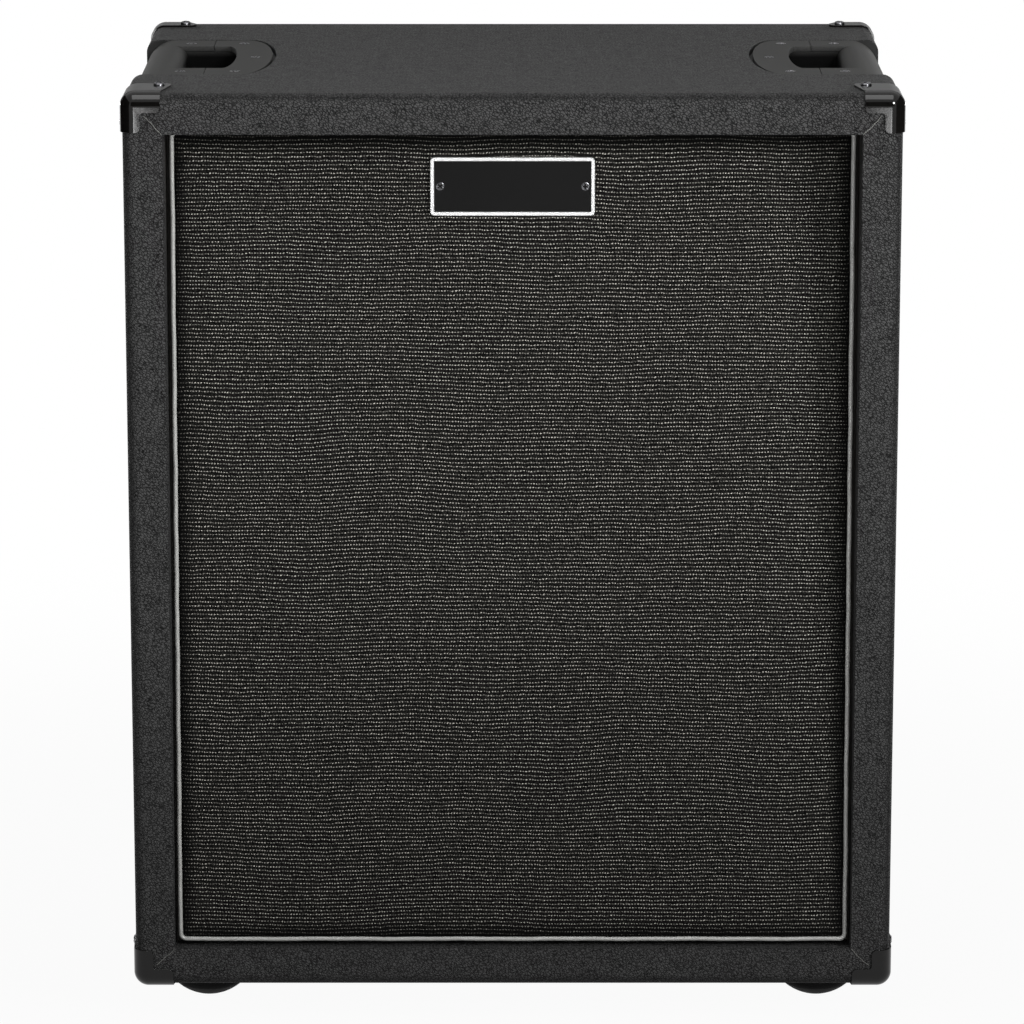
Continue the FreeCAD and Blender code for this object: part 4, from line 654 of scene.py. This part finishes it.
def softened(node: str, name: str, bevel: float = 0.0, angle: float = 30.0, corner: float = 0.0) -> Piece:
    """Copy a CAD node, merge its triangles and round its sharp edges, as a press or a mould leaves them.

    Args:
        node: CAD node.
        name: Name of the new piece.
        bevel: Width of the rounding, or 0 for none.
        angle: Edges above this angle in degrees are rounded.
        corner: Radius at the corners of a protector's legs, or 0 to leave them.

    Returns:
        The copy, with its shading weighted by face area so that flat faces stay flat.
    """
    mesh = NODES[node].data.copy()
    mesh.name = name
    shell = bmesh.new()
    shell.from_mesh(mesh)
    bmesh.ops.remove_doubles(shell, verts=shell.verts, dist=WELD * MM)
    bmesh.ops.dissolve_limit(shell, angle_limit=math.radians(0.4), verts=shell.verts, edges=shell.edges)
    if corner:
        # Corners of a front leg: as short as the sheet is thick, along the depth, inside the outline and sharp.
        sheet, margin, straight, sharp = 2.2 * MM, 5.0, 0.98, math.radians(60)
        square = [edge for edge in shell.edges if edge.calc_length() < sheet
                  and abs(edge.verts[0].co.y - edge.verts[1].co.y) > straight * edge.calc_length()
                  and abs(edge.verts[0].co.x) < (HALF_WIDTH - margin) * MM
                  and abs(edge.verts[0].co.z - MIDDLE * MM) < (HALF_HEIGHT - margin) * MM
                  and edge.calc_face_angle(0.0) > sharp]
        bmesh.ops.bevel(shell, geom=square, offset=corner * MM, segments=5, profile=0.5, affect="EDGES")
    shell.to_mesh(mesh)
    shell.free()
    if "custom_normal" in mesh.attributes:
        mesh.attributes.remove(mesh.attributes["custom_normal"])
    smooth(mesh, angle)
    piece = bpy.data.objects.new(name, mesh)
    bpy.context.scene.collection.objects.link(piece)
    if bevel:
        modifier = piece.modifiers.new("edge", "BEVEL")
        modifier.width = bevel * MM
        modifier.segments = 2
        modifier.limit_method = "ANGLE"
        modifier.angle_limit = math.radians(angle)
    weighted = piece.modifiers.new("shading", "WEIGHTED_NORMAL")
    weighted.keep_sharp = not bevel
    return piece


class Head(Enum):
    """Form of a screw's head."""

    DOMED = "domed"
    FLUSH = "flush"


@dataclass
class ScrewSet:
    """Equal screws with a cross recess, at given places.

    Attributes:
        name: Name of the piece, and of its CAD node with "_turned" taken off.
        head: Form of the head.
        places: Seat or face points, and outward directions, of shape count, 2, 3.
        radius: Head radius.
        height: Rise of a dome, or depth of a countersink.
        shank: Shank radius.
        length: From the seat or the face to the tip.
        rings: Circles of points on the head.
        cross: Half width and length of an arm of the cross, and its depth, as shares of the head's radius.
        blur: Over how much of the radius the arm's side and its end slope.
        turns: Turn of the first screw's cross, and from each to the next, in radians.
    """

    name: str
    head: Head
    places: np.ndarray
    radius: float
    height: float
    shank: float
    length: float
    rings: int = 15
    cross: Triple = (0.15, 0.62, 0.34)
    blur: Pair = (0.07, 0.12)
    turns: Pair = (0.7, 2.4)

    def profile(self) -> tuple[np.ndarray, np.ndarray]:
        """Radius and height from the middle of the head to the tip.

        A dome follows a flat ellipse with a short upright rim; a flush head is level with a worn edge, then a cone.

        Returns:
            Radii and heights, with height 0 at the seat or the face.
        """
        share = np.linspace(0, 1, self.rings)
        if self.head is Head.DOMED:
            rim, power = 0.16, 2.3
            rise = self.height * (rim + (1 - rim) * np.sqrt(np.clip(1 - share ** power, 0, 1)))
            under = [(self.radius, 0.0), (self.shank, 0.0)]
        else:
            crown, power, worn = 0.06, 8, (0.985, 0.08)
            rise = crown * self.radius * np.clip(1 - share ** power, 0, 1)
            under = [(worn[0] * self.radius, -worn[1] * self.height), (self.shank, -self.height)]
        tail = np.array([*under, (self.shank, -self.length), (0.0, -self.length)])
        return np.concatenate([share * self.radius, tail[:, 0]]), np.concatenate([rise, tail[:, 1]])

    def build(self) -> None:
        """Turn the profile about each screw's own axis and press a cross into its head.

        At angle a and radius r the cross has arms where the smaller of |r cos a| and |r sin a| is under the arm's half
        width and the larger is under its length, and both limits are softened.
        """
        radii, heights = self.profile()
        angle = np.linspace(0, 2 * math.pi, 49)
        flat = np.stack([radii[:, None] * np.cos(angle), radii[:, None] * np.sin(angle)], axis=-1)
        wide, long, deep = self.cross
        near = np.clip((wide - np.abs(flat).min(axis=-1) / self.radius) / self.blur[0] + 0.5, 0, 1)
        far = np.clip((long - np.abs(flat).max(axis=-1) / self.radius) / self.blur[1] + 0.5, 0, 1)
        arm = near * far
        arm[self.rings:] = 0
        rise = heights[:, None] - deep * self.radius * arm
        grids = []
        for count, (at, out) in enumerate(self.places):
            spin = self.turns[0] + self.turns[1] * count
            right = np.cross(out, np.array([out[2], out[0], out[1]], float))
            right = right * math.cos(spin) + np.cross(out, right) * math.sin(spin)
            up = np.cross(out, right)
            grids.append(at + flat[..., :1] * right + flat[..., 1:] * up + rise[..., None] * out)
        piece = surface(self.name, grids, angle=42)
        stand_for(piece, OXIDE, "black_screw", self.name.removesuffix("_turned"))


def mirrored(places: list[tuple[Triple, Triple]]) -> np.ndarray:
    """Points with directions, and the same ones mirrored about the cabinet's middle plane."""
    first = np.array(places, float)
    return np.concatenate([first, first * (-1, 1, 1)])


@dataclass
class Carcass:
    """Leathercloth covering with its mitres, and the panels, rails and back panel under it.

    Attributes:
        border: Width of the front border.
        leg: Width of a protector's front leg.
        margin: Distance of a mitre line from the protector, and from the opening.
        seam: Width and height of a mitre line.
        swings: Reach of each swing of the line, its turn along the line, and from one corner to the next.
        back_screws: Half distances of the back panel's rows of screws, across and up.
        back_counts: Screws along a level edge and along an upright one.
    """

    border: float = 31.6
    leg: float = 14.5
    margin: Pair = (2.2, 0.4)
    seam: Pair = (0.5, 0.28)
    swings: tuple[Triple, ...] = ((0.25, 5.3, 1.7), (0.12, 17.0, 1.0))
    back_screws: Pair = (271.1, 329.1)
    back_counts: tuple[int, int] = (4, 5)

    def build(self) -> None:
        """Dress the covering, the seams and the back panel with its screws."""
        stand_for(softened("vinyl_covering", "leathercloth_covering", angle=40), VINYL, "vinyl", "vinyl_covering")
        stand_for(self.seams(), SEAM, "vinyl")
        stand_for(softened("back_panel", "back_panel_faced", bevel=1.0), BACKING, "back_board", "back_panel")
        ScrewSet("back_panel_screws_turned", Head.FLUSH, self.screws(), radius=4.2, height=2.6, shank=2.0,
                 length=29.0).build()
        for node, finish in INNER_FINISHES.items():
            dress(NODES[node], finish)

    def seams(self) -> Piece:
        """Mitre lines of the covering at the four front corners.

        A flat half ellipse is carried along a line from the protector's inner corner to the corner of the opening,
        and the line swings a little to the sides, as a hand-cut edge does.

        Returns:
            One piece with the four lines.
        """
        width, height = self.seam
        share = np.linspace(0, 1, 25)
        inset = self.leg + self.margin[0] + share * (self.border - self.leg - sum(self.margin))
        round_ = np.linspace(0, 2 * math.pi, 9)
        grids = []
        for count, (side, up) in enumerate(((-1, 1), (1, 1), (-1, -1), (1, -1))):
            swing = sum(reach * np.sin(share * turn + step * count) for reach, turn, step in self.swings)
            x = side * (HALF_WIDTH - inset - swing)
            z = MIDDLE + up * (HALF_HEIGHT - inset + swing)
            taper = width / 2 * np.sqrt(np.clip(1 - np.abs(2 * share - 1) ** 8, 0, 1))
            wide = taper[:, None] * np.cos(round_) * math.sqrt(0.5)
            depth = FRONT - height * (taper / width)[:, None] * np.sin(round_)
            grids.append(np.stack([x[:, None] + side * wide, depth, z[:, None] + up * -wide], axis=-1))
        return surface("leathercloth_mitres", grids, angle=80)

    def screws(self) -> np.ndarray:
        """Space the back panel's screws evenly along each level edge and each upright one.

        Returns:
            Their faces and outward directions.
        """
        across, high = self.back_screws
        level, upright = (2 * (np.arange(count) + 1) / (count + 1) - 1 for count in self.back_counts)
        spots = [(across * x, up * high) for x in level for up in (-1, 1)]
        spots += [(side * across, high * z) for z in upright for side in (-1, 1)]
        return np.array([((x, BACK_BOARD, MIDDLE + z), (0, 1, 0)) for x, z in spots], float)


@dataclass
class Grille:
    """Cloth on its frame, piping round it and the badge.

    Attributes:
        cloth_cells: Points of the cloth from its middle to its edge.
        piping_slack: How much thinner the bead is than its CAD node, to leave room for its waves.
        piping_shift: How far the bead lies inside its CAD node's line.
        piping_waves: Height of each wave in the bead's line, its count round the grille and its start.
        badge_screw: Half distance of the badge's screws.
        rim_cut: Chamfer of the badge's rim.
        field_tuck: How far the badge's field reaches under the rim.
    """

    cloth_half: Pair = (262.3, 320.3)
    cloth_front: float = -193.8
    cloth_hem: float = -180.9
    cloth_cells: int = 70
    edge_radius: float = 2.4
    piping_half: Pair = (266.4, 324.4)
    piping_corner: float = 6.8
    piping_radius: float = 2.0
    piping_depth: float = -193.0
    piping_slack: float = 0.25
    piping_shift: float = 0.22
    piping_waves: tuple[Triple, ...] = ((0.13, 23.0, 0.0), (0.09, 57.0, 1.1))
    badge_half: Pair = (64.0, 22.9)
    badge_height: float = 663.0
    badge_screw: float = 56.3
    rim_width: float = 3.3
    rim_front: float = -196.8
    rim_cut: float = 0.45
    rim_corner: float = 3.5
    field_front: float = -195.8
    field_tuck: float = 0.05
    field_corner: float = 0.3

    def build(self) -> None:
        """Stretch the cloth, lay the piping round it and fix the badge."""
        stand_for(self.cloth(), CLOTH, "cloth", "grille_cloth")
        stand_for(self.piping(), BEAD, "piping", "grille_piping")
        stand_for(self.rim(), RIM, "badge", "badge_plate")
        stand_for(self.field(), LACQUER, "badge")
        heads = np.array([(side * self.badge_screw, self.field_front, self.badge_height) for side in (-1, 1)])
        faces = leaned(heads)
        outward = leaned(heads - (0, 1, 0)) - faces
        ScrewSet("badge_screws_turned", Head.FLUSH, np.stack([faces, outward], axis=1), radius=3.2, height=1.6,
                 shank=1.5, length=9.0).build()

    def wrap(self, half: float) -> tuple[np.ndarray, np.ndarray]:
        """One section of the stretched cloth, from hem to hem.

        The section runs up one side of the frame, round its edge on a quarter circle, flat over the front and down
        the other side.

        Args:
            half: Half width of the cloth in that direction.

        Returns:
            Place across and drop behind the front, from one hem to the other.
        """
        turn = np.linspace(0, math.pi / 2, 7)[1:]
        flat = half - self.edge_radius
        drop = self.cloth_hem - self.cloth_front
        across = np.concatenate([np.linspace(0, flat, self.cloth_cells), flat + self.edge_radius * np.sin(turn),
                                 [half, half]])
        fall = np.concatenate([np.zeros(self.cloth_cells), self.edge_radius * (1 - np.cos(turn)),
                               [(drop + self.edge_radius) / 2, drop]])
        return np.concatenate([-across[:0:-1], across]), np.concatenate([fall[:0:-1], fall])

    def cloth(self) -> Piece:
        """Stretch one sheet over the frame: depth is the larger of the drops across and up.

        Returns:
            The cloth, with its corner folds cut away.
        """
        x, drop_x = self.wrap(self.cloth_half[0])
        z, drop_z = self.wrap(self.cloth_half[1])
        depth = self.cloth_front + np.maximum(drop_x[None, :], drop_z[:, None])
        grid = np.stack(np.broadcast_arrays(x, depth, MIDDLE + z[:, None]), axis=-1)
        piece = surface("grille_cloth_woven", [leaned(grid)], angle=60)
        return piece

    def piping(self) -> Piece:
        """Carry a circle round the grille, with slow waves of a fraction of a millimetre in its line.

        Returns:
            The closed bead.
        """
        half = [size - self.piping_radius for size in self.piping_half]
        path, normals = rounded_path(half, self.piping_corner - self.piping_radius, step=5.0)
        angle = np.arctan2(path[:, 1], path[:, 0])
        wave = sum(high * np.sin(count * angle + start) for high, count, start in self.piping_waves) - self.piping_shift
        turn = np.linspace(0, 2 * math.pi, 17)
        radius = self.piping_radius - self.piping_slack
        circle = np.stack([radius * np.cos(turn), self.piping_depth - radius * np.sin(turn)], axis=-1)
        bead = swept(path + normals * wave[:, None], normals, circle, MIDDLE)
        return surface("grille_piping_bead", [leaned(bead)], angle=80)

    def rim(self) -> Piece:
        """Carry the rim's section round the badge: a flat front between two small chamfers.

        Returns:
            The raised rim.
        """
        path, normals = rounded_path(self.badge_half, self.rim_corner, step=4.0)
        width, front, back, cut = self.rim_width, self.rim_front, self.cloth_front, self.rim_cut
        section = np.array([(0, back), (0, front + cut), (-cut, front), (cut - width, front), (-width, front + cut),
                            (-width, back), (0, back)])
        return surface("badge_rim", [leaned(swept(path, normals, section, self.badge_height))], angle=20)

    def field(self) -> Piece:
        """Fill the rim with the plate's field, rings that shrink to the middle, with a closed back.

        Returns:
            The black field.
        """
        half = [size - self.rim_width + self.field_tuck for size in self.badge_half]
        path, _ = rounded_path(half, self.field_corner, step=4.0)
        share = np.array([0.0, 1.0, 1.0, 0.0])
        depth = np.array([self.field_front, self.field_front, self.cloth_front, self.cloth_front])
        x, z = (path[:, axis, None] * share for axis in (0, 1))
        grid = np.stack(np.broadcast_arrays(x, depth, z + self.badge_height), axis=-1)
        return surface("badge_field", [leaned(grid)], angle=20)


@dataclass
class Corners:
    """Eight enamelled protectors and their domed screws.

    Attributes:
        lift: Height of a screw's seat over the covering.
        inset: Distance of a screw from the cabinet's long edge.
        setbacks: Distances of the screws from the front and from the back.
    """

    lift: float = 1.7
    inset: float = 27.0
    setbacks: Pair = (38.0, 20.0)

    def build(self) -> None:
        """Round the pressed edges and set a screw in each lobe."""
        for end in ("front", "rear"):
            for level in ("top", "bottom"):
                for side in ("left", "right"):
                    node = f"{end}_{level}_{side}_corner"
                    stand_for(softened(node, f"{node}_pressed", bevel=0.5, corner=4.0), ENAMEL, "corner", node)
        ScrewSet("corner_screws_turned", Head.DOMED, self.screws(), radius=4.4, height=2.4, shank=1.9,
                 length=14.6).build()

    def screws(self) -> np.ndarray:
        """Place one screw on top or bottom and one on the side at each of the eight corners.

        Returns:
            Their seats and outward directions.
        """
        half = []
        for y in (FRONT + self.setbacks[0], -FRONT - self.setbacks[1]):
            half.append(((self.inset - HALF_WIDTH, y, TOP + self.lift), (0, 0, 1)))
            half.append(((self.inset - HALF_WIDTH, y, BOTTOM - self.lift), (0, 0, -1)))
            half.append(((-HALF_WIDTH - self.lift, y, TOP - self.inset), (-1, 0, 0)))
            half.append(((-HALF_WIDTH - self.lift, y, BOTTOM + self.inset), (-1, 0, 0)))
        return mirrored(half)


@dataclass
class Handles:
    """Two edge handles, each of a grip and a dish moulding, and their screws.

    Attributes:
        sink: Depth of a screw's face under the covering.
        spots: Distance of each screw from the cabinet's edge, and its place along the depth.
    """

    sink: float = 0.2
    spots: tuple[Pair, ...] = ((94.0, 0.0), (38.0, 77.0), (38.0, -77.0), (81.0, 77.0), (81.0, -77.0))

    def build(self) -> None:
        """Round the moulded edges and set the screws on the top and the side."""
        for side in ("left", "right"):
            for kind in ("grip", "dish"):
                node = f"{side}_handle_{kind}"
                stand_for(softened(node, f"{node}_moulded", bevel=0.7), NYLON, "handle", node)
        places = []
        for reach, off in self.spots:
            places.append(((reach - HALF_WIDTH, off, TOP - self.sink), (0, 0, 1)))
            places.append(((self.sink - HALF_WIDTH, off, TOP - reach), (-1, 0, 0)))
        ScrewSet("handle_screws_turned", Head.FLUSH, mirrored(places), radius=4.2, height=2.6, shank=2.0,
                 length=16.0).build()


@dataclass
class Connection:
    """Jack plate on the back panel with its two jacks, and the feet.

    Attributes:
        plate_out: Depth of the plate's outer face.
        plate_height: Height of its middle.
        screw_spot: Half distances of its screws, across and up.
    """

    plate_out: float = 195.6
    plate_height: float = 293.0
    screw_spot: Pair = (51.0, 29.0)

    def build(self) -> None:
        """Dress plate, jacks, nuts and feet, and set the plate's screws."""
        stand_for(softened("jack_plate", "jack_plate_coated", bevel=0.4), POWDER, "jack_plate", "jack_plate")
        for node, finish in CONNECTION_FINISHES.items():
            dress(NODES[node], finish)
        across, high = self.screw_spot
        places = [((side * across, self.plate_out, self.plate_height + up * high), (0, 1, 0))
                  for side in (-1, 1) for up in (-1, 1)]
        ScrewSet("jack_plate_screws_turned", Head.DOMED, np.array(places, float), radius=3.2, height=1.6, shank=1.5,
                 length=10.6).build()


@dataclass
class Speakers:
    """Two loudspeakers behind the baffle.

    Attributes:
        flex: Shares of a surround's depth where it leaves the frame and where it joins the cone, not used.
    """

    flex: Pair = (0.34, 0.84)

    def build(self) -> None:
        """Dress every piece of both, and put a smoothed copy in place of each surround."""
        for name in ("upper", "lower"):
            for kind, finish in SPEAKER_FINISHES.items():
                dress(NODES[f"{name}_{kind}"], finish)
            self.surround(name)

    def surround(self, name: str) -> None:
        """Put a smoothed copy in the doped finish in place of one surround, and hide its CAD node.

        The surround joins the cone at its inner edge and the frame at its hem, which lies in front.

        Args:
            name: Which speaker.
        """
        node = f"{name}_surround"
        piece = dress(softened(node, f"{node}_folded", angle=60), DOPED)
        points = np.empty(3 * len(piece.data.vertices))
        piece.data.vertices.foreach_get("co", points)
        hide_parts(node)
        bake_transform(piece)


class Shine(Enum):
    """What a lamp gives: light and mirror images, light alone as through a polariser, or mirror images alone."""

    PLAIN = "plain"
    POLARISED = "polarised"
    MIRRORED = "mirrored"


@dataclass
class Studio:
    """White room: floor, soft lamps, world and camera.

    Attributes:
        camera: Place of the camera.
        pitch: How far it looks down in degrees.
        lens: Focal length on a sensor 36 mm wide.
        ambient: Strength of the world for soft light.
        floor_half: Half size of the floor.
        floor_fade: Distances where the floor starts to whiten and where it is white, and its share of white before.
    """

    camera: Triple = (-0.0005, -4.2, 1.351)
    pitch: float = 13.2
    lens: float = 185.3
    ambient: float = 0.18
    floor_half: float = 15.0
    floor_fade: Triple = (0.5, 1.5, 0.95)

    def build(self) -> None:
        """Set up view, world, floor, lamps, flags and camera."""
        bpy.context.scene.view_settings.view_transform = "Standard"
        self.world()
        self.floor()
        self.lamps()
        self.flags()
        view = bpy.data.cameras.new("photo_view")
        view.sensor_width = 36.0
        view.lens = self.lens
        holder = bpy.data.objects.new("photo_view", view)
        holder.location = self.camera
        holder.rotation_euler = (math.radians(90 - self.pitch), 0, 0)
        bpy.context.scene.collection.objects.link(holder)
        bpy.context.scene.camera = holder

    def lamps(self) -> None:
        """Hang a key in front, one over the top, one for the right corner's spark, and pairs at the sides."""
        self.softbox("key", (0.35, -4.4, 0.75), (0.0, 0.0, 0.5), (4.4, 1.0), 126.0, Shine.POLARISED)
        for name, side, fill in (("right", 1, 165.0), ("left", -1, 20.0)):
            self.softbox(f"{name}_fill", (side * 2.6, -2.2, 1.2), (0.0, 0.0, 0.4), (1.0, 1.6), fill, Shine.POLARISED)
            self.softbox(f"rear_{name}", (side * 1.9, 2.8, 0.9), (0.0, 0.2, 0.4), (1.4, 1.2), 60.0)
            self.softbox(f"{name}_side", (side * 3.0, 0.5, 0.9), (0.0, 0.0, 0.4), (1.4, 1.2), 40.0, Shine.POLARISED)
            self.softbox(f"{name}_glint", (side * 0.545, -2.2, 0.32), (side * 0.29, -0.2, 0.71), (0.22, 0.22), 3.0)
        self.softbox("overhead", (0.0, -0.45, 1.7), (0.0, -0.1, 0.74), (1.2, 0.7), 11.5)
        self.softbox("corner_spark", (1.6, -3.0, 2.2), (0.29, -0.2, 0.73), (0.7, 0.7), 150.0, Shine.MIRRORED)

    def flags(self) -> None:
        """Hang what the enamel mirrors round the set, and two doors that shade the bottom border and the right side."""
        self.flag("rear_flag", PAPER, (-2.6, 2.2, 0.5), (5.2, 0.0, 0.0), (0.0, 0.0, 1.8))
        self.flag("front_flag", FELT, (-3.0, -5.0, 0.9), (6.0, 0.0, 0.0), (0.0, 0.0, 3.2))
        for name, side in (("left", -1), ("right", 1)):
            self.flag(f"{name}_flag", FELT, (side * 2.4, -2.6, 0.15), (0.0, 4.8, 0.0), (0.0, 0.0, 2.4))
        self.flag("barn_door", FELT, (-1.2, -1.4, 0.0), (2.4, 0.0, 0.0), (0.0, 0.0, 0.34), shades=True)
        self.flag("right_barn_door", FELT, (0.85, -1.2, 0.0), (1.4, 0.0, 0.0), (0.0, 0.0, 0.55), shades=True)

    def seen(self, tree: Tree) -> Node:
        """One for rays that show the background: from the camera, mirrored or through glass."""
        path = add(tree, "LightPath").outputs
        pair = add(tree, "Math.MAXIMUM", (path["Is Camera Ray"], path["Is Glossy Ray"]))
        return add(tree, "Math.MAXIMUM", (pair, path["Is Transmission Ray"]))

    def world(self) -> None:
        """White where it shows, dimmer as light."""
        world = bpy.data.worlds.new("white_room")
        world.use_nodes = True
        tree = world.node_tree
        shader = tree.nodes["Background"]
        shader.inputs["Color"].default_value = (1, 1, 1, 1)
        level = add(tree, "MapRange", (self.seen(tree), 0.0, 1.0, self.ambient, 1.0))
        tree.links.new(level.outputs[0], shader.inputs["Strength"])
        bpy.context.scene.world = world

    def floor(self) -> None:
        """Pale floor that keeps the shadow near the cabinet, fades to white and is clear from below."""
        half = self.floor_half / MM
        grid = np.stack(np.meshgrid([half, -half], [-half, half], [0.0], indexing="ij"), axis=-1)
        floor = surface("floor", [grid.reshape(2, 2, 3)], closed=False)
        paint = bpy.data.materials.new("pale_studio_paint")
        paint.use_nodes = True
        tree = paint.node_tree
        tree.nodes.remove(tree.nodes["Principled BSDF"])
        place = add(tree, "TexCoord").outputs["Object"]
        reach = add(tree, "VectorMath.LENGTH", (place,)).outputs["Value"]
        fade = add(tree, "MapRange", (reach, *self.floor_fade), interpolation_type="SMOOTHSTEP")
        share = add(tree, "Math.MULTIPLY", (fade, self.seen(tree)))
        matt = add(tree, "BsdfDiffuse", {"Color": linear("#8c8c8c")})
        glow = add(tree, "Emission", {"Color": (1, 1, 1, 1), "Strength": 1.0})
        lit = add(tree, "MixShader", (share, matt, glow))
        below = add(tree, "NewGeometry").outputs["Backfacing"]
        both = add(tree, "MixShader", (below, lit, add(tree, "BsdfTransparent")))
        tree.links.new(both.outputs[0], tree.nodes["Material Output"].inputs["Surface"])
        floor.data.materials.append(paint)

    def flag(self, name: str, finish: Finish, corner: Triple, across: Triple, up: Triple, shades: bool = False) -> None:
        """Hang a cloth that only mirrored rays meet, as round a glossy black product, or that only shades a lamp.

        Args:
            name: Name of the flag.
            finish: Its surface.
            corner: One lower corner.
            across: Its lower edge.
            up: Its upright edge.
            shades: Whether it shades lamps rather than shows in mirrors.
        """
        edges = np.array([[(0, 0, 0), up], [across, np.add(across, up)]], float)
        cloth = surface(name, [(np.array(corner) + edges) / MM], closed=False)
        dress(cloth, finish)
        cloth.visible_camera = cloth.visible_diffuse = False
        cloth.visible_shadow = shades
        cloth.visible_glossy = not shades

    def softbox(self, name: str, at: Triple, aim: Triple, size: Pair, watts: float,
                shine: Shine = Shine.PLAIN) -> None:
        """Hang a soft lamp that the camera doesn't see.

        Args:
            name: Name of the lamp.
            at: Its place.
            aim: Point it faces.
            size: Width and height.
            watts: Power.
            shine: What it gives.
        """
        lamp = bpy.data.lights.new(name, "AREA")
        lamp.shape = "RECTANGLE"
        lamp.size, lamp.size_y = size
        lamp.energy = watts
        holder = bpy.data.objects.new(name, lamp)
        holder.location = at
        away = holder.location - type(holder.location)(aim)
        holder.rotation_euler = away.to_track_quat("Z", "Y").to_euler()
        holder.visible_camera = False
        holder.visible_glossy = shine is not Shine.POLARISED
        holder.visible_diffuse = shine is not Shine.MIRRORED
        bpy.context.scene.collection.objects.link(holder)


def main() -> None:
    """Build the cabinet's looks piece by piece, then the studio."""
    logging.basicConfig(level=logging.INFO, format="%(name)s: %(message)s")
    for assembly in (Carcass(), Grille(), Corners(), Handles(), Connection(), Speakers(), Studio()):
        assembly.build()
        LOG.info("%s done", type(assembly).__name__)


if __name__ == "__main__":
    main()
